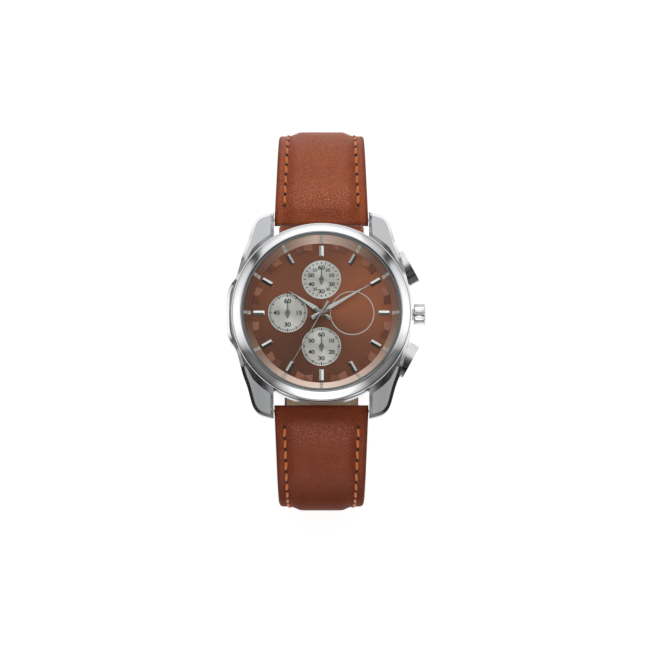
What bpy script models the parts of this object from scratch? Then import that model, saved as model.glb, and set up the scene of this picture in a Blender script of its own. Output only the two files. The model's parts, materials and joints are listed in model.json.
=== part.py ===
"""Chronograph wristwatch: steel case, quartz movement, dial and hands, crown, pushers, leather strap.

Every length below is in millimetres, and finish() turns it into metres. Frame: the origin is the
centre of the caseback's outer face, +X points to 3 o'clock, +Y to 12 o'clock and +Z out through
the crystal. Each moving piece has its origin on its own joint axis.
"""

import math

import bmesh
import bpy
from mathutils import Vector

for old in list(bpy.data.objects):
    bpy.data.objects.remove(old)

MM = 0.001
TURN_TO_YZ = (math.pi / 2, 0, math.pi / 2)  # own X, Y, Z become world Y, Z, X
TURN_TO_XZ = (math.pi / 2, 0, 0)  # own X, Y, Z become world X, Z, -Y
TURN_ALONG_Y = (-math.pi / 2, 0, 0)  # own Z becomes world Y

# Case, seen from the front
BEZEL_R = 21.0
BEZEL_INNER_R = 18.65
BORE_R = 17.6
CASE_LOW, CASE_TOP, BEZEL_TOP = 1.05, 7.45, 10.35
LUG_INNER_X = 11.2
LUG_TIP_Y = 24.4
BAR_Y, BAR_Z = 22.7, 2.8

# Dial and the levels above it
DIAL_LOW, DIAL_TOP = 6.5, 6.9
SUBDIAL_R, SUBDIAL_OFFSET = 4.6, 7.9
SUBDIAL_TOP = 7.1
SMALL_HAND_Z, HOUR_HAND_Z, MINUTE_HAND_Z, CHRONO_HAND_Z = 7.35, 7.6, 8.1, 8.6
HOUR_ANGLE, MINUTE_ANGLE, CHRONO_ANGLE = -56.4, 60.0, 210.0  # clockwise from 12, in degrees

# Movement
PLATE_R = 15.4
BRIDGE_LOW, BRIDGE_TOP = 2.0, 2.6
MAINPLATE_LOW, MAINPLATE_TOP = 4.7, 5.5
FINE, COARSE = 0.16, 0.24  # gear modules
ARBOR_R, ARBOR_HOLE_R = 0.15, 0.22
BATTERY_AT, BATTERY_R = (-7.4, 7.2), 4.75
LEVER_AT, LEVER_ARM = (11.4, 2.6), 2.6

# Crown and pushers, which share one height
STEM_Z = 4.2
PUSHER_ANGLE = 28.5
PUSHER_POCKET_R = 20.55  # floor of the pocket in the flank that the cap sinks into

# Strap
BAR_R, TUNNEL_R = 0.75, 0.85
STRAP_SHORT_LENGTH, STRAP_LONG_LENGTH = 76.1, 118.0
STRAP_RUNS = {  # (length, turn in degrees) from the bar, both halves leaving it 6 degrees below level
    "short": [(14.1, -10), (13.56, -74), (14, -20), (18.33, -70), (16.11, 0)],
    "long": [(13, -10), (13.56, -74), (28.7, -20), (15.88, -70), (46.86, 0)],
}
BUCKLE_BAR_R = 0.7
BUCKLE_HALF_WIDTH, BUCKLE_ARM = 11.2, 1.7


def material(name, colour, roughness, metallic):
    made = bpy.data.materials.new(name)
    made.use_nodes = True
    shader = made.node_tree.nodes["Principled BSDF"]
    shader.inputs["Base Color"].default_value = (*colour, 1)
    shader.inputs["Roughness"].default_value = roughness
    shader.inputs["Metallic"].default_value = metallic
    made.diffuse_color = (*colour, 1)
    return made


def circle(radius, count=12, centre=(0, 0)):
    steps = [math.tau * i / count for i in range(count)]
    return [(centre[0] + radius * math.cos(a), centre[1] + radius * math.sin(a)) for a in steps]


def polar(radius, degrees, centre=(0, 0)):
    a = math.radians(degrees)
    return (centre[0] + radius * math.cos(a), centre[1] + radius * math.sin(a))


def gear(teeth, module, phase=0.0):
    """Outline of a gear with pointed teeth and wide backlash, one tooth centred on the angle phase."""
    pitch_r = teeth * module / 2
    points = []
    for i in range(teeth):
        middle = phase + math.tau * i / teeth
        for radius, a in ((pitch_r + 0.6 * module, middle), (pitch_r - module, middle + math.pi / teeth)):
            points.append((radius * math.cos(a), radius * math.sin(a)))
    return points


def meshed_phase(teeth, phase, direction, other_teeth):
    """Phase of a second gear, in the given direction from the first, whose teeth fill its gaps."""
    ahead = (direction - phase) * teeth / math.tau
    return direction + math.pi - (0.5 - ahead) * math.tau / other_teeth


def direction(start, end):
    return math.atan2(end[1] - start[1], end[0] - start[0])


def rounded_rectangle(width, height, radius, count=3):
    points = []
    for quarter, (sx, sy) in enumerate(((1, 1), (-1, 1), (-1, -1), (1, -1))):
        centre = (sx * (width / 2 - radius), sy * (height / 2 - radius))
        for i in range(count + 1):
            points.append(polar(radius, 90 * (quarter + i / count), centre))
    return points


def mirrored(points):
    """The points of a right-hand half from bottom to top, then their mirror images back down."""
    return points + [(-x, y) for x, y in reversed(points) if x > 1e-9]


def finish(name, mesh, slot, at=(0, 0, 0), turn=(0, 0, 0), smooth=True, oriented=False):
    """Turn a mesh drawn in millimetres into the object of one sub-part."""
    if not oriented:
        bmesh.ops.recalc_face_normals(mesh, faces=mesh.faces)
    bmesh.ops.scale(mesh, vec=(MM, MM, MM), verts=mesh.verts)
    data = bpy.data.meshes.new(name)
    mesh.to_mesh(data)
    mesh.free()
    if smooth:
        data.shade_smooth()
        data.set_sharp_from_angle(angle=math.radians(32))
    made = bpy.data.objects.new(name, data)
    bpy.context.scene.collection.objects.link(made)
    made.location = Vector(at) * MM
    made.rotation_euler = turn
    if slot:
        data.materials.append(slot)
    return made


def ring(mesh, outline, z, scale=1.0):
    points = [mesh.verts.new((x * scale, y * scale, z)) for x, y in outline]
    edges = [mesh.edges.new((a, b)) for a, b in zip(points, points[1:] + points[:1])]
    return points, edges


def wall(mesh, low, high):
    for i in range(len(low)):
        j = (i + 1) % len(low)
        mesh.faces.new((low[i], low[j], high[j], high[i]))


def stack(name, sections, slot, holes=(), **place):
    """Solid built up along its own Z from (outline, low, high[, top_scale]), with through holes."""
    mesh = bmesh.new()
    bottoms = [ring(mesh, hole, sections[0][1]) for hole in holes]
    tops = [ring(mesh, hole, sections[-1][2]) for hole in holes]
    for low, high in zip(bottoms, tops):
        wall(mesh, low[0], high[0])
    open_edges = [e for _, edges in bottoms for e in edges]
    for outline, low_z, high_z, *scale in sections:
        low, low_edges = ring(mesh, outline, low_z)
        high, high_edges = ring(mesh, outline, high_z, *scale)
        wall(mesh, low, high)
        bmesh.ops.triangle_fill(mesh, use_beauty=True, edges=open_edges + low_edges, normal=(0, 0, 1))
        open_edges = high_edges
    open_edges = open_edges + [e for _, edges in tops for e in edges]
    bmesh.ops.triangle_fill(mesh, use_beauty=True, edges=open_edges, normal=(0, 0, 1))
    return finish(name, mesh, slot, **place)


def lathe(name, profile, slot, closed=True, steps=36, **place):
    """Solid of revolution about its own Z. An open profile starts and ends on the axis."""
    mesh = bmesh.new()
    points = [mesh.verts.new((r, 0, z)) for r, z in profile]
    pairs = zip(points, points[1:] + (points[:1] if closed else []))
    edges = [mesh.edges.new(pair) for pair in pairs]
    bmesh.ops.spin(mesh, geom=points + edges, axis=(0, 0, 1), cent=(0, 0, 0), angle=math.tau,
                   steps=steps, use_merge=True)
    bmesh.ops.remove_doubles(mesh, verts=mesh.verts, dist=1e-4)
    return finish(name, mesh, slot, **place)


def rods(name, places, count=16):
    """Cutting tool: one cylinder for each (start, direction, radius, length)."""
    mesh = bmesh.new()
    for start, way, radius, length in places:
        made = bmesh.ops.create_cone(mesh, cap_ends=True, segments=count, radius1=radius,
                                     radius2=radius, depth=length)
        middle = Vector(start) + Vector(way).normalized() * length / 2
        turn = Vector((0, 0, 1)).rotation_difference(Vector(way))
        for vert in made["verts"]:
            vert.co = turn @ vert.co + middle
    return finish(name, mesh, None, smooth=False, oriented=True)


def shape_with(target, tool, operation="DIFFERENCE"):
    """Cut, or keep, what the tool covers. The tool itself is only a helper."""
    tool.hide_render = True
    tool.display_type = "WIRE"
    cut = target.modifiers.new(tool.name, "BOOLEAN")
    cut.object = tool
    cut.operation = operation
    cut.solver = "EXACT"


# ---------------------------------------------------------------- case

def case_outline():
    """Plan of the flanks and lugs, counterclockwise from 3 o'clock. The 9 o'clock flank swells out."""
    lug = [(18.4, 14.2), (17.35, 17.1), (16.4, 20.0), (15.9, 21.3), (15.2, 22.5), (14.2, 23.35),
           (12.9, 23.95), (LUG_INNER_X, LUG_TIP_Y), (LUG_INNER_X, 16.0)]
    right_top = [(21.25, 0), (21.1, 3.6), (20.2, 7.4), (19.4, 10.6)]
    left_top = [(-19.6, 10.4), (-20.5, 8.6), (-21.4, 7.2), (-21.9, 5.8), (-22.2, 3.5)]
    top = right_top + lug + [(-x, y) for x, y in reversed(lug)] + left_top + [(-22.3, 0)]
    return top + [(x, -y) for x, y in reversed(top[1:-1])]


def pusher_place(side):
    """Own Z along the radius a pusher is pressed on: side is 1 at 2 o'clock and -1 at 4 o'clock."""
    return {"at": (0, 0, STEM_Z), "turn": (0, math.pi / 2, side * math.radians(PUSHER_ANGLE))}


def build_case(steel, polished, rubber, glass):
    case = stack("case_middle", [(case_outline(), CASE_LOW - 1, CASE_TOP + 1)], steel, smooth=False)
    shoulder, sole = CASE_TOP - 0.1, CASE_LOW + 0.07
    above = [(LUG_TIP_Y + 0.2, 2.5), (LUG_TIP_Y - 0.7, 3.7), (21.1, 5.35), (17.8, 6.6), (14.4, shoulder)]
    below = [(18.9, sole), (20.4, 0.7), (22.8, 0.42), (LUG_TIP_Y + 0.2, 0.8)]
    side = below + above
    side = side + [(-y, z) for y, z in reversed(side)]
    shape_with(case, stack("case_side_tool", [(side, -26, 26)], None, turn=TURN_TO_YZ, smooth=False),
               "INTERSECT")
    band = [(0, CASE_LOW), (BEZEL_R, CASE_LOW), (BEZEL_R, CASE_TOP), (0, CASE_TOP)]
    shape_with(case, lathe("case_band_tool", band, None, closed=False, steps=60, smooth=False), "UNION")
    bore = [(0, -2), (18.2, -2), (18.2, 1.5), (BORE_R, 1.5), (BORE_R, 12), (0, 12)]
    shape_with(case, lathe("case_bore_tool", bore, None, closed=False, steps=48, smooth=False))
    holes = [((15, 0, STEM_Z), (1, 0, 0), 1.45, 9)]
    for side_sign in (1, -1):
        x, y = polar(15, side_sign * PUSHER_ANGLE)
        holes.append(((x, y, STEM_Z), (x, y, 0), 1.4, 9))
        for bar_y in (BAR_Y, -BAR_Y):
            holes.append(((side_sign * 10.5, bar_y, BAR_Z), (side_sign, 0, 0), 0.45, 1.7))
    shape_with(case, rods("case_hole_tool", holes))
    for side_sign, name in ((1, "2"), (-1, "4")):
        pocket = rounded_rectangle(4.2, 8.9, 1.1)
        shape_with(case, stack("pusher_pocket_tool_" + name, [(pocket, PUSHER_POCKET_R, 27)], None,
                               smooth=False, **pusher_place(side_sign)))

    bezel = [(BEZEL_INNER_R, 7.5), (BEZEL_R, 7.5), (BEZEL_R, 9.1), (20.75, 9.45), (19.0, BEZEL_TOP),
             (BEZEL_INNER_R, 10.2)]
    lathe("bezel", bezel, polished, steps=60)
    crystal = [(0, 9.3), (18.1, 9.3), (18.1, 10.3), (17.8, 10.55), (0, 10.6)]
    lathe("crystal", crystal, glass, closed=False)
    lathe("crystal_gasket", [(18.16, 9.2), (18.58, 9.2), (18.58, 10.25), (18.16, 10.25)], rubber)
    back = [(0, 0), (15.5, 0), (17.2, 0.35), (18.6, 0.75), (18.6, 1.0), (17.5, 1.0), (17.5, 1.65),
            (16.7, 1.65), (16.7, 1.2), (0, 1.2)]
    lathe("caseback", back, polished, closed=False)
    lathe("caseback_gasket", [(17.6, 1.1), (18.1, 1.1), (18.1, 1.42), (17.6, 1.42)], rubber)


# ---------------------------------------------------------------- dial and hands

def index_opening():
    """Inner edge of the ring of hour bars: an arc, then a bar that reaches in, twelve times."""
    ring_r, bar_r, half = 15.95, 13.3, 0.575
    points = []
    for hour in range(12):
        middle = 30 * hour
        reach = math.degrees(math.asin(half / ring_r))
        tip = math.degrees(math.asin(half / bar_r))
        points += [polar(ring_r, middle - reach), polar(bar_r, middle - tip), polar(bar_r, middle + tip),
                   polar(ring_r, middle + reach), polar(ring_r, middle + 15)]
    return points


def subdial_places():
    return {"12": (0, SUBDIAL_OFFSET), "9": (-SUBDIAL_OFFSET, 0), "6": (0, -SUBDIAL_OFFSET)}


def build_dial(brown, silver, polished):
    arbor_holes = [circle(0.25, 10, at) for at in subdial_places().values()]
    stack("dial", [(circle(17.4, 48), DIAL_LOW, DIAL_TOP)], brown, holes=[circle(0.95, 16)] + arbor_holes)
    rehaut = [(16.4, 6.97), (17.5, 6.97), (17.5, 7.56), (18.5, 7.56), (18.5, 9.15)]
    lathe("chapter_ring", rehaut, brown, steps=60)
    stack("hour_index_ring", [(circle(16.3, 48), 6.95, 7.35)], polished, holes=[index_opening()], smooth=False)
    for name, at in subdial_places().items():
        stack("subdial_disc_" + name, [(circle(SUBDIAL_R, 32), 6.95, SUBDIAL_TOP)], silver,
              holes=[circle(0.25, 10)], at=(*at, 0))


def hand_outline(tip, tail, width, widest, hub, tail_width):
    """A lance that points along +Y, with a round hub on the axis and a straight tail."""
    arc = [polar(hub, a) for a in range(-60, 61, 20)]
    right = [(tail_width / 2, -tail), *arc, (width / 2, widest), (0, tip)]
    return mirrored(right)


def clockwise(degrees):
    return (0, 0, -math.radians(degrees))


def build_hands(polished, dark):
    hands = [
        ("hour_hand", hand_outline(9.2, 2.2, 1.4, 4.6, 1.35, 0.7), HOUR_HAND_Z, 0.88, HOUR_ANGLE, polished),
        ("minute_hand", hand_outline(13.2, 2.6, 1.35, 6.0, 1.1, 0.7), MINUTE_HAND_Z, 0.56, MINUTE_ANGLE,
         polished),
        ("chrono_seconds_hand", hand_outline(13.7, 3.1, 0.3, 1.5, 0.75, 0.8), CHRONO_HAND_Z, 0.24,
         CHRONO_ANGLE, dark),
    ]
    for name, outline, z, bore, angle, slot in hands:
        stack(name, [(outline, z, z + 0.18)], slot, holes=[circle(bore, 14)], turn=clockwise(angle),
              smooth=False)
    small = hand_outline(2.6, 1.4, 0.3, 0.9, 0.45, 0.3)
    for name, place in (("hour_counter_hand", "12"), ("minute_counter_hand", "9"), ("running_seconds_hand", "6")):
        at = (*subdial_places()[place], 0)
        stack(name, [(small, SMALL_HAND_Z, SMALL_HAND_Z + 0.14)], dark, holes=[circle(0.2, 10)], at=at,
              smooth=False)


# ---------------------------------------------------------------- movement

def train_places():
    """Plan positions of the going train's axes, from the centre distances of its gears."""
    seconds = subdial_places()["6"]
    to_centre, to_seconds, span = FINE * (6 + 48) / 2, FINE * (6 + 45) / 2, SUBDIAL_OFFSET
    third_y = -(to_centre**2 - to_seconds**2 + span**2) / (2 * span)
    third = (-math.sqrt(to_centre**2 - third_y**2), third_y)
    intermediate = polar(FINE * (6 + 36) / 2, -20, seconds)
    rotor = polar(FINE * (6 + 30) / 2, 30, intermediate)
    return {"seconds": seconds, "third": third, "intermediate": intermediate, "rotor": rotor}


def build_plates(brass, nickel, plastic, green):
    places = train_places()
    counters = [subdial_places()["12"], subdial_places()["9"]]
    pivots = [circle(ARBOR_HOLE_R, 10, at) for at in [*places.values(), *counters]]
    bridge_holes = pivots + [circle(0.25, 10), circle(0.36, 10, LEVER_AT)]
    bridge = stack("train_bridge", [(circle(15.2, 40), BRIDGE_LOW, BRIDGE_TOP)], brass, holes=bridge_holes,
                   smooth=False)
    well = ((*BATTERY_AT, 0), (0, 0, 1), BATTERY_R + 0.25, 8)
    shape_with(bridge, rods("battery_well_tool", [well], count=32))
    slot = [(13.1, -1.05), (15.1, -1.05), (15.1, 1.05), (13.1, 1.05)]
    plate_holes = pivots + [circle(0.7, 14), circle(ARBOR_HOLE_R, 10, minute_wheel_at()), slot]
    stack("mainplate", [(circle(PLATE_R, 40), MAINPLATE_LOW, MAINPLATE_TOP)], brass, holes=plate_holes,
          smooth=False)
    holder = lathe("movement_holder", [(15.6, 1.75), (17.4, 1.75), (17.4, 6.4), (15.6, 6.4)], plastic)
    passages = [((14, 0, STEM_Z), (1, 0, 0), 0.7, 5)]
    for side in (1, -1):
        x, y = polar(14, side * PUSHER_ANGLE)
        passages.append(((x, y, STEM_Z), (x, y, 0), 1.35, 5))
    shape_with(holder, rods("holder_hole_tool", passages))
    board = [polar(14.8, a) for a in range(-75, 76, 10)]
    stack("circuit_board", [(board, 1.62, 1.88)], green, smooth=False)
    battery_z = 1.95
    cell = [(0, battery_z), (4.2, battery_z), (4.2, battery_z + 0.25), (BATTERY_R, battery_z + 0.3),
            (BATTERY_R, 4.05), (0, 4.05)]
    lathe("battery", cell, nickel, closed=False, steps=24, at=(*BATTERY_AT, 0))
    strip = [(-4.9, -1.1), (6.2, -1.1), (6.2, 1.1), (-4.9, 1.1)]
    stack("battery_clamp", [(strip, 1.62, 1.84)], nickel, at=(*BATTERY_AT, 0),
          turn=(0, 0, math.radians(-45)), smooth=False)


def minute_wheel_at():
    return polar(COARSE * (10 + 30) / 2, -45)


def build_going_train(brass, steel):
    places = train_places()
    seconds, third, intermediate, rotor = places.values()

    def arbor(low, high):
        return (circle(ARBOR_R, 10), low, high)

    third_phase = meshed_phase(6, 0, direction(seconds, third), 45)
    centre_phase = meshed_phase(6, 0, direction(third, (0, 0)), 48)
    intermediate_phase = meshed_phase(36, 0, direction(seconds, intermediate), 6)
    rotor_phase = meshed_phase(30, 0, direction(intermediate, rotor), 6)
    stack("seconds_wheel", [arbor(2.2, 2.95), (gear(36, FINE), 2.95, 3.2), (gear(6, FINE), 3.2, 3.8),
                            arbor(3.8, 7.5)], brass, at=(*seconds, 0), smooth=False)
    stack("third_wheel", [arbor(2.2, 3.45), (gear(45, FINE, third_phase), 3.45, 3.7),
                          (gear(6, FINE), 3.7, 4.5), arbor(4.5, 5.1)], brass, at=(*third, 0), smooth=False)
    stack("centre_wheel", [(gear(48, FINE, centre_phase), 4.15, 4.4)], brass, holes=[circle(0.56, 14)],
          smooth=False)
    stack("intermediate_wheel", [arbor(2.2, 2.85), (gear(6, FINE, intermediate_phase), 2.85, 3.45),
                                 (gear(30, FINE), 3.45, 3.7), arbor(3.7, 5.1)], brass,
          at=(*intermediate, 0), smooth=False)
    stack("stepping_rotor", [arbor(2.2, 2.8), (circle(0.9, 16), 2.8, 3.25),
                             (gear(6, FINE, rotor_phase), 3.25, 3.85), arbor(3.85, 5.1)], steel,
          at=(*rotor, 0), smooth=False)


def build_motor(steel, copper):
    rotor = train_places()["rotor"]
    yoke = [(4.35, -6.25), (4.35, -8.95), (6.6, -8.95), (8.4, -10.3), (11.0, -10.3), (11.0, -9.25),
            (8.95, -9.25), (7.6, -8.3), (7.6, -6.9), (8.95, -3.3), (11.0, -3.3), (11.0, -2.3),
            (8.2, -2.3), (6.6, -6.25)]
    stack("stator", [(yoke, 2.8, 3.2)], steel, holes=[circle(1.05, 16, rotor)], smooth=False)
    core = [(-0.6, -0.25), (0.6, -0.25), (0.6, 0.25), (-0.6, 0.25)]
    stack("motor_coil", [(core, -10.2, -9.0), (circle(0.95, 16), -9.0, -3.5), (core, -3.5, -2.3)], copper,
          at=(10.2, 0, 3.65), turn=TURN_ALONG_Y)


def build_motion_works(brass, steel):
    minute_at = minute_wheel_at()
    minute_phase = meshed_phase(10, 0, direction((0, 0), minute_at), 30)
    hour_phase = meshed_phase(8, 0, direction(minute_at, (0, 0)), 32)
    stack("cannon_pinion", [(circle(0.5, 14), 4.0, 5.6), (gear(10, COARSE), 5.6, 5.95),
                            (circle(0.5, 14), 5.95, 8.3)], steel, holes=[circle(0.25, 10)], smooth=False)
    stack("minute_wheel", [(circle(ARBOR_R, 10), 4.9, 5.6), (gear(30, COARSE, minute_phase), 5.6, 5.9),
                           (gear(8, COARSE), 5.9, 6.4)], brass, at=(*minute_at, 0), smooth=False)
    stack("hour_wheel", [(gear(32, COARSE, hour_phase), 6.05, 6.3), (circle(0.82, 14), 6.3, 7.76)], brass,
          holes=[circle(0.57, 14)], smooth=False)
    stack("chrono_wheel", [(circle(0.18, 10), 2.2, 2.95), (gear(20, COARSE), 2.95, 3.2),
                           (circle(0.18, 10), 3.2, 8.78)], brass, smooth=False)
    for name, place in (("minute_counter_wheel", "9"), ("hour_counter_wheel", "12")):
        stack(name, [(circle(ARBOR_R, 10), 2.2, 3.45), (gear(16, COARSE), 3.45, 3.7),
                     (circle(ARBOR_R, 10), 3.7, 7.5)], brass, at=(*subdial_places()[place], 0),
              smooth=False)


# ---------------------------------------------------------------- crown and pushers

def build_crown(steel, polished, rubber):
    flutes = [polar(2.5 if i % 2 else 2.3, 9 * i) for i in range(40)]
    along_x = {"at": (0, 0, STEM_Z), "turn": (0, math.pi / 2, 0)}
    crown = stack("crown", [(flutes, 21.8, 23.95), (circle(2.26, 40), 23.95, 24.5, 0.86)], polished,
                  **along_x)
    hollow = [(0, 21), (1.5, 21), (1.5, 23.0), (0.46, 23.0), (0.46, 23.95), (0, 23.95)]
    shape_with(crown, lathe("crown_hollow_tool", hollow, None, closed=False, steps=16, smooth=False,
                            **along_x))
    stack("stem", [(circle(0.4, 12), 9.8, 11.15), (circle(0.22, 12), 11.15, 11.65),
                   (circle(0.4, 12), 11.65, 23.88)], steel, **along_x)
    lathe("crown_tube", [(0.6, 18.0), (1.38, 18.0), (1.38, 22.4), (0.6, 22.4)], steel, steps=16, **along_x)
    lathe("crown_gasket", [(0.5, 22.6), (1.35, 22.6), (1.35, 22.88), (0.5, 22.88)], rubber, steps=20,
          **along_x)
    stack("sliding_pinion", [(gear(10, FINE), 13.9, 14.9)], steel, holes=[circle(0.5, 12)], smooth=False,
          **along_x)
    lever = [polar(0.9, a) for a in range(-40, 221, 20)] + [(-0.35, -LEVER_ARM + 0.1), (-0.2, -LEVER_ARM - 0.3),
                                                          (0.2, -LEVER_ARM - 0.3), (0.35, -LEVER_ARM + 0.1)]
    stack("setting_lever", [(circle(0.28, 10), 2.1, 3.0), (lever, 3.0, 3.3),
                            (circle(0.15, 8, (0, -LEVER_ARM)), 3.3, 3.9)], steel, at=(*LEVER_AT, 0),
          smooth=False)


def build_pusher(name, side, steel, polished):
    """Button, tube, clip and return spring of one pusher, along the radius it is pressed on."""
    place = pusher_place(side)
    cap = rounded_rectangle(3.6, 8.2, 0.9)
    stack("pusher_button_" + name, [(circle(0.58, 12), 17.0, 17.35), (circle(0.42, 12), 17.35, 17.7),
                                    (circle(0.58, 12), 17.7, 21.35), (circle(0.95, 16), 21.35, 22.25),
                                    (cap, 22.25, 23.45), (cap, 23.45, 23.9, 0.9)], polished, **place)
    tube = [(0.65, 17.9), (1.33, 17.9), (1.33, 20.75), (1.05, 20.75), (1.05, 18.8), (0.65, 18.8)]
    lathe("pusher_tube_" + name, tube, steel, steps=16, **place)
    lathe("pusher_clip_" + name, [(0.48, 17.42), (1.1, 17.42), (1.1, 17.62), (0.48, 17.62)], steel,
          steps=14, **place)
    turns, per_turn, mean_r, wire_r = 3, 8, 0.825, 0.13
    low, high = 18.8 + wire_r + 0.05, 21.35 - wire_r - 0.05
    wire = bpy.data.curves.new("pusher_spring_" + name, "CURVE")
    wire.dimensions = "3D"
    wire.bevel_depth = wire_r * MM
    wire.bevel_resolution = 0
    wire.use_fill_caps = True
    line = wire.splines.new("POLY")
    line.points.add(turns * per_turn)
    for i, point in enumerate(line.points):
        x, y = polar(mean_r, 360 * i / per_turn)
        point.co = (x * MM, y * MM, (low + (high - low) * i / (turns * per_turn)) * MM, 1)
    spring = bpy.data.objects.new("pusher_spring_" + name, wire)
    bpy.context.scene.collection.objects.link(spring)
    spring.location = Vector(place["at"]) * MM
    spring.rotation_euler = place["turn"]
    wire.materials.append(steel)


# ---------------------------------------------------------------- strap

def strap_point(half, s):
    """Centreline (y, z, heading) of a strap half at the length s from its bar, as if at 12 o'clock."""
    y, z, heading = BAR_Y, BAR_Z, math.radians(-6)
    for length, turn in STRAP_RUNS[half]:
        step = min(s, length)
        bend = math.radians(turn) * step / length
        chord = step * math.sin(bend / 2) / (bend / 2) if bend else step
        y += chord * math.cos(heading + bend / 2)
        z += chord * math.sin(heading + bend / 2)
        heading += bend
        s -= step
    return y + s * math.cos(heading), z + s * math.sin(heading), heading


def strap_width(half, s):
    width = 18 + 4 * (1 - min(max(s, 0), 80) / 80) ** 1.8
    tail = s - (STRAP_LONG_LENGTH - 10)
    if half == "long" and tail > 0:
        width *= math.sqrt(1 - (tail / 10.2) ** 2)
    return width


def strap_half_thickness(half, s):
    """Half the thickness: round over the bar, then full, then thinner towards the far end."""
    full = 1.3 + 0.8 * (1 - min(s, 60) / 60) ** 1.5
    if s < 0:
        return math.sqrt(1.5**2 - s**2)
    if s < 5:
        return 1.5 + (full - 1.5) * (s / 5) ** 0.7
    past = s - STRAP_SHORT_LENGTH
    if half == "short" and past > 0:
        return math.sqrt(1.3**2 - past**2)
    return full


def strap_stations(half):
    stations = [-1.46, -1.3, -0.9, 0, 1.5, 3, 5]
    s = 0.0
    for length, turn in STRAP_RUNS[half]:
        parts = max(1, math.ceil(abs(turn) / 13))
        stations += [s + length * i / parts for i in range(1, parts + 1) if s + length * i / parts > 6]
        s += length
    if half == "short":
        stations += [STRAP_SHORT_LENGTH + past for past in (0.6, 1.0, 1.24)]
    else:
        stations += [STRAP_LONG_LENGTH - back for back in (10, 6, 3.5, 1.5)]
    return sorted(stations)


def strap(name, half, side, leather):
    """One strap half: a six-sided section, raised along the middle, swept along its centreline."""
    mesh = bmesh.new()
    rows = []
    for s in strap_stations(half):
        y, z, heading = strap_point(half, s)
        w, h = strap_width(half, s) / 2, strap_half_thickness(half, s)
        drop, flat = min(0.8, 0.5 * h), w - min(2.3, 0.5 * w)
        section = [(-w, -h), (w, -h), (w, h - drop), (flat, h), (-flat, h), (-w, h - drop)]
        row = []
        for x, up in section:
            py, pz = y - up * math.sin(heading), z + up * math.cos(heading)
            row.append(mesh.verts.new((x, side * (py - BAR_Y), pz - BAR_Z)))
        rows.append(row)
    for low, high in zip(rows, rows[1:]):
        wall(mesh, low, high)
    mesh.faces.new(rows[0])
    mesh.faces.new(rows[-1])
    return finish(name, mesh, leather, at=(0, side * BAR_Y, BAR_Z), smooth=False)


def bar(name, at, body_r, half_body, tip_r, half_tip, steel):
    sections = [(circle(tip_r, 10), -half_tip, -half_body), (circle(body_r, 14), -half_body, half_body),
                (circle(tip_r, 10), half_body, half_tip)]
    stack(name, sections, steel, at=at, turn=(0, math.pi / 2, 0))


def keeper(name, middle_y, width, leather):
    """Loop round the short strap with room under it for the tail of the long one."""
    _, strap_z, _ = strap_point("short", STRAP_SHORT_LENGTH)
    high, low, half_x, skin = strap_z + 1.45, strap_z - 4.5, 9.5, 0.8
    middle_z = (high + low) / 2
    inner = rounded_rectangle(2 * half_x, high - low, 0.5)
    outer = rounded_rectangle(2 * (half_x + skin), high - low + 2 * skin, 1.5)
    stack(name, [(outer, -width / 2, width / 2)], leather, holes=[inner], at=(0, middle_y, middle_z),
          turn=TURN_TO_XZ)


def build_strap(leather, steel, polished):
    short = strap("strap_short", "short", 1, leather)
    long = strap("strap_long", "long", -1, leather)
    end_y, end_z, _ = strap_point("short", STRAP_SHORT_LENGTH)
    across = (1, 0, 0)
    tunnels = [((-14, BAR_Y, BAR_Z), across, TUNNEL_R, 28), ((-14, end_y, end_z), across, 0.8, 28)]
    shape_with(short, rods("short_tunnel_tool", tunnels, count=14))
    notch = [(-1.5, -3), (1.5, -3), (1.5, 3), (-1.5, 3)]
    shape_with(short, stack("tang_slot_tool", [(notch, -3, 3)], None, at=(0, end_y, end_z), smooth=False))
    shape_with(long, rods("long_tunnel_tool", [((-14, -BAR_Y, BAR_Z), across, TUNNEL_R, 28)], count=14))
    holes = []
    for i in range(7):
        y, z, _ = strap_point("long", 75 + 5.5 * i)
        holes.append(((0, -y, z - 4), (0, 0, 1), 1.1, 8))
    shape_with(long, rods("strap_hole_tool", holes, count=8))

    for name, side in (("spring_bar_12", 1), ("spring_bar_6", -1)):
        bar(name, (0, side * BAR_Y, BAR_Z), BAR_R, 10.9, 0.38, 12.0, steel)
    bar("buckle_bar", (0, end_y, end_z), BUCKLE_BAR_R, 9.4, 0.38, 10.7, steel)
    keeper("keeper_fixed", end_y + 6.0, 3.6, leather)
    keeper("keeper_free", end_y + 13.6, 4.0, leather)

    inner = BUCKLE_HALF_WIDTH - BUCKLE_ARM
    frame = mirrored([(0, -11.9), (9.2, -11.6), (10.8, -10.6), (BUCKLE_HALF_WIDTH, -9.2),
                      (BUCKLE_HALF_WIDTH, 1.5), (inner, 1.5), (inner, -9.0), (0, -9.3)])
    buckle = stack("buckle_frame", [(frame, -1.1, 1.1)], polished, at=(0, end_y, end_z), smooth=False)
    sockets = [((side * 9.0, end_y, end_z), (side, 0, 0), 0.45, 1.95) for side in (1, -1)]
    shape_with(buckle, rods("buckle_socket_tool", sockets, count=12))
    tang = [polar(1.3, a) for a in range(-125, 200, 25)]
    tang += [(-8.6, -1.2), (-12.1, -1.2), (-12.2, -1.75), (-8.4, -2.1)]
    stack("buckle_tang", [(tang, -0.8, 0.8)], polished, holes=[circle(0.78, 12)], at=(0, end_y, end_z),
          turn=TURN_TO_YZ, smooth=False)


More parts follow.
